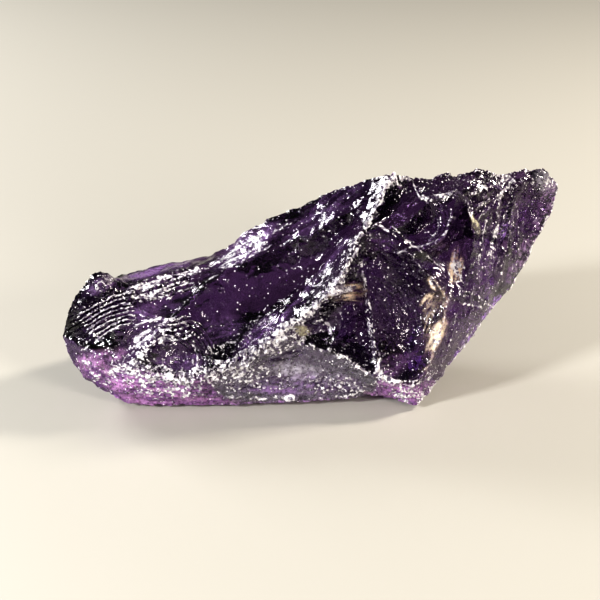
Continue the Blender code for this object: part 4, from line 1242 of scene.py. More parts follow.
@dataclass
class Sheet:
    """One side of the stone: a coarse net of triangles over its faces, split finer and finer.

    The clearance is how far the net's inner places keep from a rim, in grid steps, and places that agree to
    so many digits are one.
    """

    outlines: Outlines
    faces: Faces
    place_of: Callable[[Any], Array]
    grid_px: float
    splits: int
    clearance: float = 0.62
    digits: int = 4
    tolerance_px: float = 1e-4
    places: Array = field(init=False)
    triangles: Array = field(init=False)
    face_ids: Array = field(init=False)

    def __post_init__(self) -> None:
        """Lays the coarse net, splits it, and bends each face's inside to its thin plate."""
        plates = self._lay_net()
        for _ in range(self.splits):
            self._split()
        ridge = self.on_ridge()
        owner = self.owners()
        for number, plate in enumerate(plates):
            inner = np.flatnonzero((owner == number) & ~ridge)
            if len(inner):
                self.places[inner, 2] = plate(self.places[inner])

    def _grid(self, rim: Array) -> Array:
        """Places in staggered rows inside a rim, none of them close to it.

        Args:
            rim: the rim's corners in order.
        Returns:
            Pixels across and down, one place to a row.
        """
        low, high = rim.min(axis=0), rim.max(axis=0)
        rows = np.arange(low[1], high[1], self.grid_px * math.sqrt(3) / 2)
        across, down = np.meshgrid(np.arange(low[0], high[0], self.grid_px), rows)
        across = across + (np.arange(len(rows)) % 2 * self.grid_px / 2)[:, None]
        grid = np.column_stack([across.ravel(), down.ravel()])
        grid = grid[inside(grid, rim)]
        if not len(grid):
            return grid
        return grid[squared_distances(grid, rim).min(axis=1) > (self.grid_px * self.clearance) ** 2]

    def _lay_net(self) -> list[Plate]:
        """Joins the rims and a loose grid inside them into triangles, and names each triangle's face.

        Returns:
            Each face's thin plate, in order.
        """
        known: dict[Pair, int] = {}
        places: list[Array] = []
        edges: list[tuple[int, int]] = []
        plates, rims = [], []

        def index_of(place: Array) -> int:
            """Finds a place in the list, or adds it.

            Args:
                place: pixels across and down and closeness.
            Returns:
                Its number.
            """
            key = tuple(np.round(place[:2], self.digits))
            if key not in known:
                known[key] = len(places)
                places.append(np.asarray(place))
            return known[key]

        outline = [index_of(place) for place in self.outlines.rim(" ".join([*TOP_OUTLINE, *LOW_OUTLINE]))]
        for loop, inner in self.faces.values():
            rim = self.outlines.rim(loop)
            ring = [index_of(place) for place in rim]
            edges += list(zip(ring, ring[1:] + ring[:1]))
            plate = thin_plate(np.vstack([rim, *(self.place_of(point) for point in inner)]))
            grid = self._grid(rim)
            if len(grid):
                for place in np.column_stack([grid, plate(grid)]):
                    index_of(place)
            plates.append(plate)
            rims.append(rim)
        flat = [tuple(place[:2]) for place in places]
        laid = delaunay_2d_cdt(flat, edges, [outline], INSIDE_ONLY, self.tolerance_px)
        triangles, origins = laid[2:4]
        self.places = np.array(places)
        self.triangles = np.array([[origins[i][0] for i in triangle] for triangle in triangles])
        middles = self.places[self.triangles].mean(axis=1)
        self.face_ids = np.zeros(len(self.triangles), int)
        for number, rim in enumerate(rims):
            self.face_ids[inside(middles, rim)] = number
        return plates

    def _edges(self) -> Array:
        """The edges of all triangles: every first edge, then every second, then every third.

        Returns:
            Two vertices for each edge, the lower one first.
        """
        turned = np.roll(self.triangles, -1, axis=1)
        pairs = np.stack([self.triangles, turned], axis=2).transpose(1, 0, 2)
        return np.sort(pairs.reshape(-1, 2), axis=1)

    def _split(self) -> None:
        """Splits every triangle into four at the middles of its edges."""
        a, b, c = self.triangles.T
        unique, number = np.unique(self._edges(), axis=0, return_inverse=True)
        ab, bc, ca = len(self.places) + number.reshape(3, -1)
        self.places = np.vstack([self.places, self.places[unique].mean(axis=1)])
        corners = [(a, ab, ca), (b, bc, ab), (c, ca, bc), (ab, bc, ca)]
        self.triangles = np.concatenate([np.stack(corner, axis=1) for corner in corners])
        self.face_ids = np.tile(self.face_ids, 4)

    def owners(self) -> Array:
        """The face of each vertex; on a ridge, the highest-numbered of the faces that meet there.

        Returns:
            One number for each vertex.
        """
        owner = np.full(len(self.places), -1)
        np.maximum.at(owner, self.triangles.ravel(), np.repeat(self.face_ids, 3))
        return owner

    def on_ridge(self) -> Array:
        """Finds the vertices on a ridge or on the outline, where two faces meet or one ends.

        Returns:
            One truth for each vertex.
        """
        low = np.full(len(self.places), len(self.faces))
        np.minimum.at(low, self.triangles.ravel(), np.repeat(self.face_ids, 3))
        ridge = low != self.owners()
        unique, count = np.unique(self._edges(), axis=0, return_counts=True)
        ridge[unique[count == 1].ravel()] = True
        return ridge


@dataclass
class Skin:
    """Both sheets joined into one closed surface, in millimetres."""

    points: Array
    triangles: Array
    owner: Array
    breaks: list[Break]
    centres: Array
    on_ridge: Array

    @classmethod
    def join(cls, front: Sheet, back: Sheet) -> "Skin":
        """Joins two sheets along the outline that they share.

        Args:
            front: the side towards the viewer.
            back: the side behind and below.
        Returns:
            The closed surface, its triangles facing outwards.
        """
        rounded = np.round(np.vstack([front.places, back.places]) * WELD_STEPS)
        _, first, number = np.unique(rounded, axis=0, return_index=True, return_inverse=True)
        places = np.vstack([front.places, back.places])[first]
        outward_back = back.triangles[:, ::-1] + len(front.places)
        triangles = number.ravel()[np.concatenate([front.triangles, outward_back])]
        owner = np.concatenate([front.owners(), back.owners() + len(front.faces)])[first]
        ridge = np.zeros(len(first), bool)
        np.logical_or.at(ridge, number.ravel(), np.concatenate([front.on_ridge(), back.on_ridge()]))
        breaks = [FRONT_BREAKS[name] for name in front.faces] + [BACK_BREAKS[name] for name in back.faces]
        seen = [VIEW.seen(*FRONT_BREAKS[name].centre) for name in front.faces]
        plain = [np.array(BACK_BREAKS[name].centre) for name in back.faces]
        skin = cls(VIEW.from_picture(places), triangles, owner, breaks, np.array(seen + plain), ridge)
        a, b, c = skin.points[skin.triangles].transpose(1, 0, 2)
        if (a * np.cross(b, c)).sum() < 0:
            skin.triangles = skin.triangles[:, ::-1]
        return skin

    def normals(self) -> Array:
        """Each point's normal: the sum of its triangles' cross products, made one long.

        Returns:
            One vector for each point.
        """
        a, b, c = self.points[self.triangles].transpose(1, 0, 2)
        cross = np.cross(b - a, c - a)
        total = np.zeros_like(self.points)
        for corner in self.triangles.T:
            np.add.at(total, corner, cross)
        return total / np.maximum(np.linalg.norm(total, axis=1), NEARLY_ZERO)[:, None]

    def of_face(self, name: str) -> Array:
        """One number of each point's own fracture face, such as its ripples' height."""
        return np.array([float(getattr(piece, name)) for piece in self.breaks])[self.owner]


@dataclass(frozen=True)
class Wander:
    """Sideways wandering of the whole skin, so that no ridge stays straight. The sole stays put."""

    height: float = 0.09
    size: float = 0.75
    fine_height: float = 0.035
    fine_size: float = 0.33
    start: Pair = (0.15, 1.2)

    def move(self, skin: Skin) -> None:
        """Moves each point by coarse and fine noise along all three axes, freely once it is off the sole.

        Args:
            skin: the surface, which is changed.
        """
        points = skin.points
        free = ease(points[:, 2], *self.start)[:, None]
        coarse = np.column_stack([Noise.smooth(points, self.size, Pattern.WANDER + i) for i in range(3)])
        layers = [Noise.smooth(points, self.fine_size, Pattern.FINE_WANDER + i) for i in range(3)]
        skin.points = points + free * (self.height * coarse + self.fine_height * np.column_stack(layers))


@dataclass(frozen=True)
class RidgeFrost:
    """Crushed ridges: white frost and lumps along lines on the skin. Sizes are in millimetres.

    The fade says where the frost starts to thin out and where it ends, in reaches of its line.
    """

    ragged: float = 0.9
    ragged_size: float = 0.9
    fine_ragged: float = 0.5
    fine_ragged_size: float = 0.35
    least_ragged: float = 0.25
    lump_size: float = 0.55
    crumb_size: float = 0.28
    crumb_share: float = 0.7
    fade: Pair = (0.35, 1.35)
    scatter_share: float = 0.35
    scatter_reach: float = 2.2
    margin_reaches: float = 8.0
    body: float = 0.85
    crumbling: float = 1.1
    raised: float = 0.35

    def lay(self, skin: Skin, outlines: Outlines, coat: Coat) -> None:
        """Lays every line's frost: full at the ridge, fading beside it, with a thin scatter farther off.

        Distance is divided by noise, which makes the frost's edge ragged, and crushed facets break its cover.

        Args:
            skin: the surface.
            outlines: where the ridges run.
            coat: what covers each point, which is added to.
        """
        points = skin.points
        ragged = 1 + self.ragged * Noise.fractal(points, self.ragged_size, Pattern.RAGGED)
        ragged += self.fine_ragged * Noise.smooth(points, self.fine_ragged_size, Pattern.FINE_RAGGED)
        chips = Noise.chips(points, self.lump_size, Pattern.LUMPS)
        chips += self.crumb_share * Noise.chips(points, self.crumb_size, Pattern.CRUMBS)
        core, end = self.fade
        for line in FROST_LINES:
            path = outlines.path(line.path)
            margin = line.reach * self.margin_reaches
            low, high = path.min(axis=0) - margin, path.max(axis=0) + margin
            rows = np.flatnonzero(((points > low) & (points < high)).all(axis=1))
            away = nearest_distance(points[rows], path) / np.maximum(ragged[rows], self.least_ragged)
            nearness = 1 - ease(away, core * line.reach, end * line.reach)
            scatter = np.exp(-away / (line.reach * self.scatter_reach))
            cover = line.strength * (nearness * (1 - self.scatter_share) + scatter * self.scatter_share)
            cover = cover * (self.body + self.crumbling * chips[rows] * nearness)
            coat.lay(rows, cover, line.tint, line.lump * nearness * (chips[rows] + self.raised))


@dataclass
class FrontMarks:
    """The cracks, chatter marks and patches of flakes on the front, drawn in pixels of the front view; some
    of them paint light and shade.

    A pair of numbers is where something starts and where it is full. The waver bends every mark a little, and
    worn runs from 0 to 1: how much of a crack or a chatter mark is left at each point.
    """

    skin: Skin
    coat: Coat
    waver_size: float = 1.0
    worn_size: float = 0.7
    worn_range: Pair = (-0.45, 0.25)
    crack_waver: float = 1.2
    crack_fade: Pair = (0.3, 1.7)
    crack_least: float = 0.2
    chatter_outer: float = 2.0
    chatter_inner: float = 4.0
    chatter_turn: float = 6.0
    chatter_peak: Pair = (0.1, 0.8)
    chatter_least: float = 0.4
    stain_waver: float = 0.35
    stain_fade: Pair = (0.55, 1.25)
    flake_range: Pair = (-0.35, 0.35)
    rows: Array = field(init=False)
    places: Array = field(init=False)
    waver: Array = field(init=False)
    worn: Array = field(init=False)

    def __post_init__(self) -> None:
        """Finds the front's points, their places in the view, and the noise that every mark shares."""
        self.rows = np.flatnonzero(self.skin.owner < len(FRONT_FACES))
        points = self.skin.points[self.rows]
        self.places = VIEW.to_picture(points)[:, :2]
        layers = [Noise.fractal(points, self.waver_size, Pattern.WAVER + i) for i in range(2)]
        self.waver = np.column_stack(layers)
        self.worn = ease(Noise.fractal(points, self.worn_size, Pattern.WORN), *self.worn_range)

    def lay(self) -> None:
        """Lays all cracks, then all chatter marks, then all patches of flakes."""
        for crack in CRACKS:
            self._crack(crack)
        for chatter in CHATTERS:
            self._chatter(chatter)
        for flake_patch in FLAKE_PATCHES:
            self._lay_flake_patch(flake_patch)

    def _crack(self, crack: Crack) -> None:
        """A line that fades beside its path: one less the eased distance from it.

        Args:
            crack: the line.
        """
        away = path_distance(self.places + self.crack_waver * self.waver, np.array(crack.corners, float))
        core, end = self.crack_fade
        nearness = 1 - ease(away, core * crack.reach, end * crack.reach)
        left = self.crack_least + (1 - self.crack_least) * self.worn
        self.coat.lay(self.rows, crack.frost_and_glints * nearness * left, crack.tint, crack.lift * nearness)

    def _chatter(self, chatter: Chatter) -> None:
        """A peaked wave of the distance from the centre, kept between two radii and two bearings: painted
        glints along the crests, over real relief.

        Args:
            chatter: the family of ripples.
        """
        offset = self.places + chatter.waver * self.waver - chatter.centre
        radius = np.linalg.norm(offset, axis=1)
        bearing = np.degrees(np.arctan2(offset[:, 1], offset[:, 0]))
        low, high = chatter.radii
        first, last = chatter.bearings
        window = ease(radius, low - self.chatter_outer, low + self.chatter_inner)
        window = window * (1 - ease(radius, high - self.chatter_inner, high + self.chatter_outer))
        turned = ease(bearing, first, first + self.chatter_turn)
        window *= turned * (1 - ease(bearing, last - self.chatter_turn, last))
        peaked = ripple(radius / chatter.spacing)
        left = self.chatter_least + (1 - self.chatter_least) * self.worn
        cover = chatter.frost_and_glints * window * ease(peaked, *self.chatter_peak) * left
        self.coat.lay(self.rows, cover, chatter.tint, chatter.lift * window * peaked)

    def _lay_flake_patch(self, flake_patch: FlakePatch) -> None:
        """Flakes within a ragged ellipse: noise that is stretched along the ellipse, where it is high.

        Args:
            flake_patch: the patch of flakes.
        """
        turn = math.radians(flake_patch.turn)
        along = (self.places - flake_patch.centre) @ (math.cos(turn), math.sin(turn))
        beside = (self.places - flake_patch.centre) @ (-math.sin(turn), math.cos(turn))
        rim = np.hypot(along / flake_patch.half[0], beside / flake_patch.half[1]) + self.stain_waver * self.waver[:, 0]
        window = 1 - ease(rim, *self.stain_fade)
        cells = np.column_stack([along / flake_patch.flake[0], beside / flake_patch.flake[1], self.waver[:, 1]])
        flakes = Noise.fractal(cells + flake_patch.centre[0], 1.0, Pattern.FLAKES, octaves=2)
        cover = flake_patch.frost_and_glints * window * (flake_patch.gap + (1 - flake_patch.gap) * ease(flakes, *self.flake_range))
        self.coat.lay(self.rows, cover, flake_patch.tint, flake_patch.lift * window * flakes)


@dataclass
class Relief:
    """What breaking left on the skin, as heights along its normals. Sizes are in millimetres.

    A pair of numbers is where something starts and where it is full, in noise or in distance from a ridge.
    """

    skin: Skin
    bend: float = 0.45
    bend_size: float = 2.2
    ring_patch_size: float = 2.6
    ring_patch_range: Pair = (-0.35, 0.45)
    ring_least: float = 0.25
    hackle_count: float = 26.0
    fine_hackle_count: float = 60.0
    fine_hackle_share: float = 0.6
    hackle_patch_size: float = 1.4
    hackle_patch_range: Pair = (-0.5, 0.5)
    grain_size: float = 0.5
    fine_grain_size: float = 0.16
    fine_grain_share: float = 0.8
    chip_size: float = 0.6
    roll_height: float = 0.07
    roll_size: float = 3.0
    roll_start: Pair = (0.0, 1.5)
    edge_chip_height: float = 0.03
    edge_chip_size: float = 0.45
    edge_fade: Pair = (0.1, 0.45)
    inner_start: Pair = (0.0, 0.5)
    sole_start: Pair = (0.02, 0.5)
    face_shift: float = 17.3

    def apply(self, edge: Array, lift: Array) -> None:
        """Adds up every height and moves the skin; what stands on the sole stays on it.

        Args:
            edge: distance from the nearest ridge.
            lift: height that the coat adds.
        """
        skin = self.skin
        inner = ease(edge, *self.inner_start)
        height = self._ripples() * inner
        height += self._hackles() * inner
        height += self._grain()
        height += skin.of_face("chips") * Noise.chips(skin.points, self.chip_size, Pattern.CHIPS)
        roll = self.roll_height * Noise.fractal(skin.points, self.roll_size, Pattern.ROLL)
        height += roll * ease(edge, *self.roll_start)
        beside = 1 - ease(edge, *self.edge_fade)
        chips = Noise.chips(skin.points, self.edge_chip_size, Pattern.EDGE_CHIPS)
        height += self.edge_chip_height * beside * chips
        height += lift
        free = ease(skin.points[:, 2], *self.sole_start)
        moved = skin.points + skin.normals() * (height * free)[:, None]
        moved[:, 2] = np.maximum(moved[:, 2], 0)
        skin.points = moved

    def _from_centre(self) -> tuple[Array, Array]:
        """Measures from each face's centre to its points.

        Returns:
            One distance for each point, and one direction.
        """
        away = self.skin.points - self.skin.centres[self.skin.owner]
        radius = np.linalg.norm(away, axis=1)
        return radius, away / np.maximum(radius, LEAST_DIVISOR)[:, None]

    def _shift(self) -> Array:
        """An offset that gives each face its own stretch of noise."""
        return self.skin.owner[:, None] * self.face_shift

    def _ripples(self) -> Array:
        """A peaked wave of the distance from the face's centre, bent a little, and in patches.

        Returns:
            One height for each point.
        """
        skin = self.skin
        radius, _ = self._from_centre()
        bend = self.bend * Noise.fractal(skin.points, self.bend_size, Pattern.RING_BEND)
        peaked = ripple(radius / skin.of_face("ring_length") + bend)
        patches = Noise.fractal(skin.points + self._shift(), self.ring_patch_size, Pattern.RING_PATCH)
        share = self.ring_least + (1 - self.ring_least) * ease(patches, *self.ring_patch_range)
        return skin.of_face("rings") * peaked * share

    def _hackles(self) -> Array:
        """Noise of the direction from the face's centre, which runs along its rays, in patches.

        Returns:
            One height for each point.
        """
        _, ray = self._from_centre()
        shift = self._shift()
        streaks = Noise.smooth(ray * self.hackle_count + shift, 1.0, Pattern.HACKLE)
        fine = Noise.smooth(ray * self.fine_hackle_count + shift, 1.0, Pattern.FINE_HACKLE)
        patches = Noise.fractal(self.skin.points + shift, self.hackle_patch_size, Pattern.HACKLE_PATCH)
        broken = ease(patches, *self.hackle_patch_range)
        return self.skin.of_face("rays") * (streaks + self.fine_hackle_share * fine) * broken

    def _grain(self) -> Array:
        """Rolling noise of the grain's size, plus a finer one.

        Returns:
            One height for each point.
        """
        coarse = Noise.fractal(self.skin.points, self.grain_size, Pattern.GRAIN)
        fine = Noise.smooth(self.skin.points, self.fine_grain_size, Pattern.FINE_GRAIN)
        return self.skin.of_face("grain") * (coarse + self.fine_grain_share * fine)


@dataclass
class Amethyst:
    """The stone: its skin, the marks of its breaking, and its frost."""

    outlines: Outlines = field(default_factory=Outlines)
    wander: Wander = field(default_factory=Wander)
    ridge_frost: RidgeFrost = field(default_factory=RidgeFrost)
    front_grid_px: float = 9.5
    back_grid_px: float = 14.0
    splits: int = 3
    sole_height: float = 0.02
    sole_frost: float = 0.1
    sharp_angle: float = math.radians(34)

    def build(self) -> bpy.types.Object:
        """Makes the stone's mesh, with its frost, haze, dust and tint as attributes, which also carry painted
        glints, shade and glow.

        Returns:
            The object, at the origin, unturned and unscaled.
        """
        front = Sheet(self.outlines, FRONT_FACES, VIEW.seen_in_picture, self.front_grid_px, self.splits)
        back = Sheet(self.outlines, BACK_FACES, VIEW.to_picture, self.back_grid_px, self.splits)
        skin = Skin.join(front, back)
        self.wander.move(skin)
        edge = nearest_distance(skin.points, skin.points[skin.on_ridge])
        coat = Coat.of_faces(skin)
        self.ridge_frost.lay(skin, self.outlines, coat)
        FrontMarks(skin, coat).lay()
        coat.frost_and_glints = np.where(skin.points[:, 2] < self.sole_height, self.sole_frost, coat.frost_and_glints)
        Relief(skin).apply(edge, coat.lift)
        return self._object(skin, coat)

    def _object(self, skin: Skin, coat: Coat) -> bpy.types.Object:
        """Puts the skin and its coat into a mesh object.

        Args:
            skin: the finished surface.
            coat: what covers each point.
        Returns:
            The object, linked to the scene.
        """
        mesh = bpy.data.meshes.new("amethyst_skin")
        mesh.from_pydata((skin.points - VIEW.base_centre) * MM, [], skin.triangles)
        mesh.shade_smooth()
        mesh.set_sharp_from_angle(angle=self.sharp_angle)
        for name, values in (("frost_and_glints", coat.frost_and_glints), ("haze", coat.haze), ("dust", skin.of_face("dust"))):
            mesh.attributes.new(name, "FLOAT", "POINT").data.foreach_set("value", values.astype(np.float32))
        colour = np.column_stack([coat.tint, np.ones(len(coat.tint))]).astype(np.float32)
        mesh.attributes.new("tint", "FLOAT_COLOR", "POINT").data.foreach_set("color", colour.ravel())
        stone = bpy.data.objects.new("amethyst_skin", mesh)
        bpy.context.scene.collection.objects.link(stone)
        return stone


class Wire:
    """A number in a shader. Python's operators on it add Math nodes."""

    def __init__(self, recipe: "Recipe", socket: Socket) -> None:
        """Wraps an output socket of a node tree."""
        self.recipe = recipe
        self.socket = socket

    def _math(self, operation: str, first: Any, second: Any, clamp: bool = False) -> "Wire":
        """Adds a Math node on two numbers.

        Args:
            operation: what the node does.
            first: a Wire or a number.
            second: a Wire or a number.
            clamp: whether the result is held between 0 and 1.
        Returns:
            The result.
        """
        settings = {"operation": operation, "use_clamp": clamp}
        return self.recipe.wire("ShaderNodeMath", settings, {0: first, 1: second})

    def __add__(self, other: Any) -> "Wire":
        """Sum."""
        return self._math("ADD", self, other)

    __radd__ = __add__

    def __sub__(self, other: Any) -> "Wire":
        """Difference."""
        return self._math("SUBTRACT", self, other)

    def __rsub__(self, other: Any) -> "Wire":
        """Difference, the other way round."""
        return self._math("SUBTRACT", other, self)

    def __mul__(self, other: Any) -> "Wire":
        """Product."""
        return self._math("MULTIPLY", self, other)

    __rmul__ = __mul__

    def larger(self, other: Any) -> "Wire":
        """The larger of two numbers."""
        return self._math("MAXIMUM", self, other)

    def over(self, limit: float) -> "Wire":
        """1 where the number is over the limit, and 0 elsewhere."""
        return self._math("GREATER_THAN", self, limit)

    def clamped(self) -> "Wire":
        """The number held between 0 and 1."""
        return self._math("ADD", self, 0.0, clamp=True)


class Recipe:
    """A material's node tree, filled node by node."""

    BLEND_FIRST = 6
    BLEND_SECOND = 7
    BLEND_RESULT = 2

    def __init__(self, name: str) -> None:
        """Starts a material with nothing but its output.

        Args:
            name: the material's name.
        """
        self.material = bpy.data.materials.new(name)
        self.material.use_nodes = True
        self.tree = self.material.node_tree
        self.tree.nodes.clear()
        self.output = self.tree.nodes.new("ShaderNodeOutputMaterial")

    def node(self, kind: str, settings: dict[str, Any], inputs: dict[Any, Any]) -> bpy.types.Node:
        """Adds a node.

        Args:
            kind: the node's type.
            settings: attributes that are set before the sockets.
            inputs: a value, a Wire or a socket for each socket's name or number.
        Returns:
            The node.
        """
        made = self.tree.nodes.new(kind)
        for name, value in settings.items():
            setattr(made, name, value)
        for name, value in inputs.items():
            if isinstance(value, Wire):
                value = value.socket
            if isinstance(value, Socket):
                self.tree.links.new(value, made.inputs[name])
            else:
                made.inputs[name].default_value = value
        return made

    def wire(self, kind: str, settings: dict[str, Any], inputs: dict[Any, Any], output: Any = 0) -> Wire:
        """Adds a node and wraps one of its outputs as a number."""
        return Wire(self, self.node(kind, settings, inputs).outputs[output])

    def attribute(self, name: str) -> Wire:
        """A number that the mesh holds for each point."""
        return self.wire("ShaderNodeAttribute", {"attribute_name": name}, {}, "Fac")

    def blend(self, share: Wire, first: Colour, second: Colour) -> Socket:
        """Blends two colours.

        Args:
            share: how much there is of the second one.
            first: the colour where the share is 0.
            second: the colour where the share is 1.
        Returns:
            The blend's socket.
        """
        inputs = {0: share, self.BLEND_FIRST: (*first, 1.0), self.BLEND_SECOND: (*second, 1.0)}
        return self.node("ShaderNodeMix", {"data_type": "RGBA"}, inputs).outputs[self.BLEND_RESULT]

    def finish(self, surface: Socket, volume: Socket | None = None) -> bpy.types.Material:
        """Links the last sockets to the output.

        Args:
            surface: what the surface is.
            volume: what fills it, if anything.
        Returns:
            The material.
        """
        self.tree.links.new(surface, self.output.inputs["Surface"])
        if volume is not None:
            self.tree.links.new(volume, self.output.inputs["Volume"])
        return self.material


@dataclass(frozen=True)
class Shell:
    """One state of the quartz's surface: how rough it is, how much light it lets through, and how glossy."""

    roughness: float
    transmission: float
    gloss: float = 0.5


@dataclass(frozen=True)
class QuartzFinish:
    """Clear purple quartz: dark where it is thick, frosted where it is crushed, with dust on it, and with
    painted shade, glow and glints in its haze, frost and dust.

    Sizes are in millimetres, and the density is per metre. A contrast and a cut turn noise into cover: noise
    times the contrast, less the cut.
    """

    ior: float = 1.55
    skin_colour: Colour = (0.83, 0.56, 0.99)
    absorption_colour: Colour = (0.50, 0.39, 0.57)
    absorption_density: float = 310.0
    haze_and_light_shell: Shell = Shell(0.30, 0.25, 0.1)
    crushed: Shell = Shell(0.28, 0.20)
    frosted_roughness: float = 0.3
    grain_roughness: float = 0.16
    polish: float = 0.03
    mask_grain: float = 0.32
    grain_detail: float = 4.0
    grain_rise: float = 0.65
    crumb_size: float = 0.22
    dim_crumb: Colour = (0.13, 0.10, 0.16)
    crumb_contrast: float = 2.2
    crumb_cut: float = 0.4
    pore_grain: float = 0.33
    pore_contrast: float = 1.7
    pore_scatter: float = 0.5
    frost_and_glint_gain: float = 1.1
    frost_and_glint_sharpness: float = 5.0
    haze_contrast: float = 4.2
    haze_cut: float = 1.15
    dust_spacing: float = 0.27
    dust_radius: float = 0.42
    dust_least: float = 0.05
    dust_sharpness: float = 16.0
    dust_share: float = 0.7
    scratch_size: float = 0.12
    scratch_detail: float = 3.0
    scratch_rise: float = 0.6
    scratch_depth: float = 0.012
    scratch_strength: float = 0.8

    def material(self) -> bpy.types.Material:
        """Builds the material.

        Returns:
            Clear quartz under tinted haze, which also paints shade, glow and glints, and over both the
            crushed quartz and painted glints, broken up by fine noise.
        """
        recipe = Recipe("quartz")
        place = recipe.node("ShaderNodeTexCoord", {}, {}).outputs["Object"]
        frost_and_glints = recipe.attribute("frost_and_glints")
        tint = recipe.node("ShaderNodeAttribute", {"attribute_name": "tint"}, {}).outputs["Color"]
        grain = self._noise(recipe, place, self.mask_grain, self.grain_detail, self.grain_rise)
        colour, lottery = self._crumbs(recipe, place)
        pores = ((grain - self.pore_grain) * self.pore_contrast + lottery * self.pore_scatter).clamped()
        # The white mask is crushed quartz and painted glints.
        white = ((frost_and_glints * self.frost_and_glint_gain - pores) * self.frost_and_glint_sharpness).clamped()
        # The haze mask also lays painted shade, glow and glints, by the tint.
        haze_and_light_cover = (recipe.attribute("haze") * (grain * self.haze_contrast - self.haze_cut)).clamped()
        normal = self._scratches(recipe, place)
        roughness = frost_and_glints * self.frosted_roughness + grain * self.grain_roughness - self.polish
        clear = recipe.node(
            "ShaderNodeBsdfPrincipled",
            {},
            {
                "Base Color": (*self.skin_colour, 1.0),
                "Roughness": roughness.clamped(),
                "IOR": self.ior,
                "Transmission Weight": 1.0,
                "Normal": normal,
            },
        )
        haze_and_light_shell = self._shell(recipe, self.haze_and_light_shell, tint, normal)
        crushed = self._shell(recipe, self.crushed, colour, normal)
        veiled = recipe.node("ShaderNodeMixShader", {}, {0: haze_and_light_cover, 1: clear.outputs[0], 2: haze_and_light_shell})
        mask = white.larger(self._dust(recipe, place))
        surface = recipe.node("ShaderNodeMixShader", {}, {0: mask, 1: veiled.outputs[0], 2: crushed})
        volume = recipe.node(
            "ShaderNodeVolumeAbsorption",
            {},
            {"Color": (*self.absorption_colour, 1.0), "Density": self.absorption_density},
        )
        return recipe.finish(surface.outputs[0], volume.outputs[0])

    def _noise(self, recipe: Recipe, place: Socket, size: float, detail: float, rise: float) -> Wire:
        """Fractal noise of a size, with finer layers, each as high as the one before times the rise."""
        inputs = {"Vector": place, "Scale": 1 / (size * MM), "Detail": detail, "Roughness": rise}
        return recipe.wire("ShaderNodeTexNoise", {}, inputs, "Fac")

    def _cells(self, recipe: Recipe, place: Socket, size: float) -> tuple[bpy.types.Node, bpy.types.Node]:
        """Cells of a size round scattered seeds, and three random numbers for each of them."""
        seeds = recipe.node("ShaderNodeTexVoronoi", {}, {"Vector": place, "Scale": 1 / (size * MM)})
        return seeds, recipe.node("ShaderNodeSeparateColor", {}, {"Color": seeds.outputs["Color"]})

    def _dust(self, recipe: Recipe, place: Socket) -> Wire:
        """Round white specks, partly dust and partly painted glints: cells whose random number is high enough
        hold a speck of random size at the seed.

        Args:
            recipe: the material.
            place: the point in the stone's own frame.
        Returns:
            1 in a speck and 0 outside.
        """
        seeds, lot = self._cells(recipe, place, self.dust_spacing)
        radius = Wire(recipe, lot.outputs["Red"]) * self.dust_radius - self.dust_least
        speck = ((radius - Wire(recipe, seeds.outputs["Distance"])) * self.dust_sharpness).clamped()
        drawn = Wire(recipe, lot.outputs["Green"]) + recipe.attribute("dust") * self.dust_share
        return speck * drawn.over(1.0)

    def _crumbs(self, recipe: Recipe, place: Socket) -> tuple[Socket, Wire]:
        """Crumbs of crushed quartz, from white to dim.

        Args:
            recipe: the material.
            place: the point in the stone's own frame.
        Returns:
            Each crumb's colour, and a random number for each crumb.
        """
        _, lot = self._cells(recipe, place, self.crumb_size)
        shade = Wire(recipe, lot.outputs["Blue"]) * self.crumb_contrast - self.crumb_cut
        colour = recipe.blend(shade.clamped(), self.dim_crumb, Tint.WHITE.value)
        return colour, Wire(recipe, lot.outputs["Green"])

    def _scratches(self, recipe: Recipe, place: Socket) -> Socket:
        """Scratches that are too fine for the mesh.

        Args:
            recipe: the material.
            place: the point in the stone's own frame.
        Returns:
            The surface's normal, tilted by them.
        """
        noise = self._noise(recipe, place, self.scratch_size, self.scratch_detail, self.scratch_rise)
        inputs = {"Height": noise, "Distance": self.scratch_depth * MM, "Strength": self.scratch_strength}
        return recipe.node("ShaderNodeBump", {}, inputs).outputs["Normal"]

    def _shell(self, recipe: Recipe, shell: Shell, colour: Socket, normal: Socket) -> Socket:
        """A surface that only part of the light goes through.

        Args:
            recipe: the material.
            shell: how it takes the light.
            colour: its colour.
            normal: the surface's normal.
        Returns:
            The shader's socket.
        """
        inputs = {
            "Base Color": colour,
            "Roughness": shell.roughness,
            "IOR": self.ior,
            "Specular IOR Level": shell.gloss,
            "Transmission Weight": shell.transmission,
            "Normal": normal,
        }
        return recipe.node("ShaderNodeBsdfPrincipled", {}, inputs).outputs[0]


@dataclass(frozen=True)
class Lamp:
    """A soft square lamp, in millimetres and watts, aimed at the stone."""

    name: str
    place: Corner
    size: float
    power: float
    colour: Colour = (1.0, 1.0, 1.0)

    def hang(self, target: Vector) -> None:
        """Adds the lamp to the scene.

        Args:
            target: the place, in metres, that it is turned to.
        """
        data = bpy.data.lights.new(self.name, "AREA")
        data.size = self.size * MM
        data.energy = self.power
        data.color = self.colour
        lamp = bpy.data.objects.new(self.name, data)
        lamp.location = Vector(self.place) * MM
        lamp.rotation_euler = (target - lamp.location).to_track_quat("-Z", "Y").to_euler()
        bpy.context.scene.collection.objects.link(lamp)


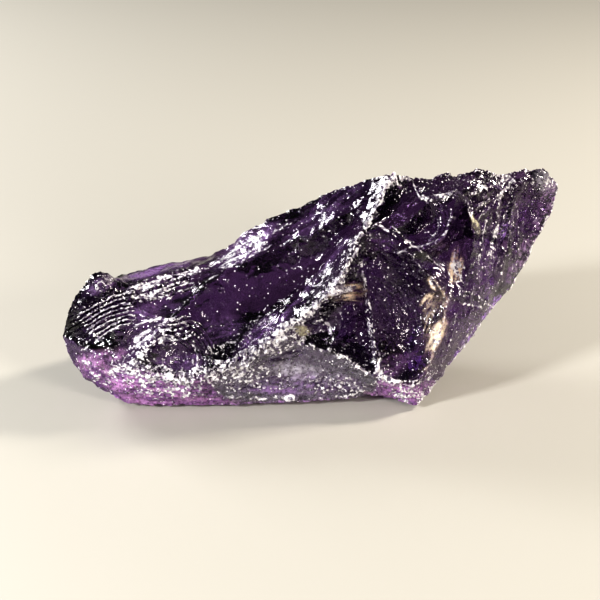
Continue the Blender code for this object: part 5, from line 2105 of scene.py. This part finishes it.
@dataclass(frozen=True)
class Studio:
    """Pale floor, soft lamps, and the camera of the front view. Sizes are in millimetres."""

    floor_size: float = 1200.0
    floor_drop: float = 0.06
    floor_colour: Colour = (0.50, 0.482, 0.435)
    floor_roughness: float = 0.45
    room_colour: Colour = (0.80, 0.78, 0.74)
    room_light: float = 0.11
    lamp_aim: Corner = (0.0, 0.0, 8.0)
    sensor: float = 36.0
    nearest: float = 1.0
    view_transform: str = "Standard"
    look: str = "High Contrast"
    lamps: tuple[Lamp, ...] = (
        Lamp("window", (-159.0, 120.0, 97.0), 75.0, 0.29),
        Lamp("left_key", (-155.0, -109.0, 88.0), 30.0, 0.40),
        Lamp("front_fill", (132.0, -158.0, 83.0), 60.0, 0.25, (1.0, 0.95, 0.88)),
        Lamp("right_rim", (150.0, 60.0, 120.0), 30.0, 0.30, (1.0, 0.93, 0.84)),
    )

    def build(self) -> None:
        """Sets up the floor, the room, the lamps and the camera."""
        self._floor()
        self._room()
        for lamp in self.lamps:
            lamp.hang(Vector(self.lamp_aim) * MM)
        self._camera()
        bpy.context.scene.view_settings.view_transform = self.view_transform
        bpy.context.scene.view_settings.look = self.look

    def _floor(self) -> None:
        """A plain square floor just under the stone."""
        half = self.floor_size / 2 * MM
        corners = np.array([(-1, -1, 0), (1, -1, 0), (1, 1, 0), (-1, 1, 0)]) * half
        corners[:, 2] = -self.floor_drop * MM
        mesh = bpy.data.meshes.new("floor")
        mesh.from_pydata(corners, [], [(0, 1, 2, 3)])
        floor = bpy.data.objects.new("floor", mesh)
        bpy.context.scene.collection.objects.link(floor)
        recipe = Recipe("floor")
        inputs = {"Base Color": (*self.floor_colour, 1.0), "Roughness": self.floor_roughness}
        paint = recipe.node("ShaderNodeBsdfPrincipled", {}, inputs)
        mesh.materials.append(recipe.finish(paint.outputs[0]))

    def _room(self) -> None:
        """Even light from all round."""
        world = bpy.data.worlds.new("room")
        bpy.context.scene.world = world
        world.use_nodes = True
        room = world.node_tree.nodes["Background"]
        room.inputs["Color"].default_value = (*self.room_colour, 1.0)
        room.inputs["Strength"].default_value = self.room_light

    def _camera(self) -> None:
        """The front view's camera: the picture's half width over the distance gives its lens."""
        data = bpy.data.cameras.new("camera")
        half_width = VIEW.picture_px / 2 / VIEW.px_per_mm
        data.sensor_width = self.sensor
        data.lens = self.sensor / 2 * VIEW.distance / half_width
        data.clip_start = self.nearest * MM
        camera = bpy.data.objects.new("camera", data)
        camera.location = Vector((VIEW.eye - VIEW.base_centre) * MM)
        camera.rotation_euler = Vector(VIEW.forward).to_track_quat("-Z", "Y").to_euler()
        bpy.context.scene.collection.objects.link(camera)
        bpy.context.scene.camera = camera


def main() -> None:
    logging.basicConfig(level=logging.INFO, format="%(name)s: %(message)s")
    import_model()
    stone = Amethyst().build()
    stone.data.materials.append(QuartzFinish().material())
    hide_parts("amethyst")
    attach(stone, "root")
    log.info("skin: %d triangles", len(stone.data.polygons))
    studio = Studio()
    studio.build()
    log.info("studio: %d lamps", len(studio.lamps))


if __name__ == "__main__":
    main()
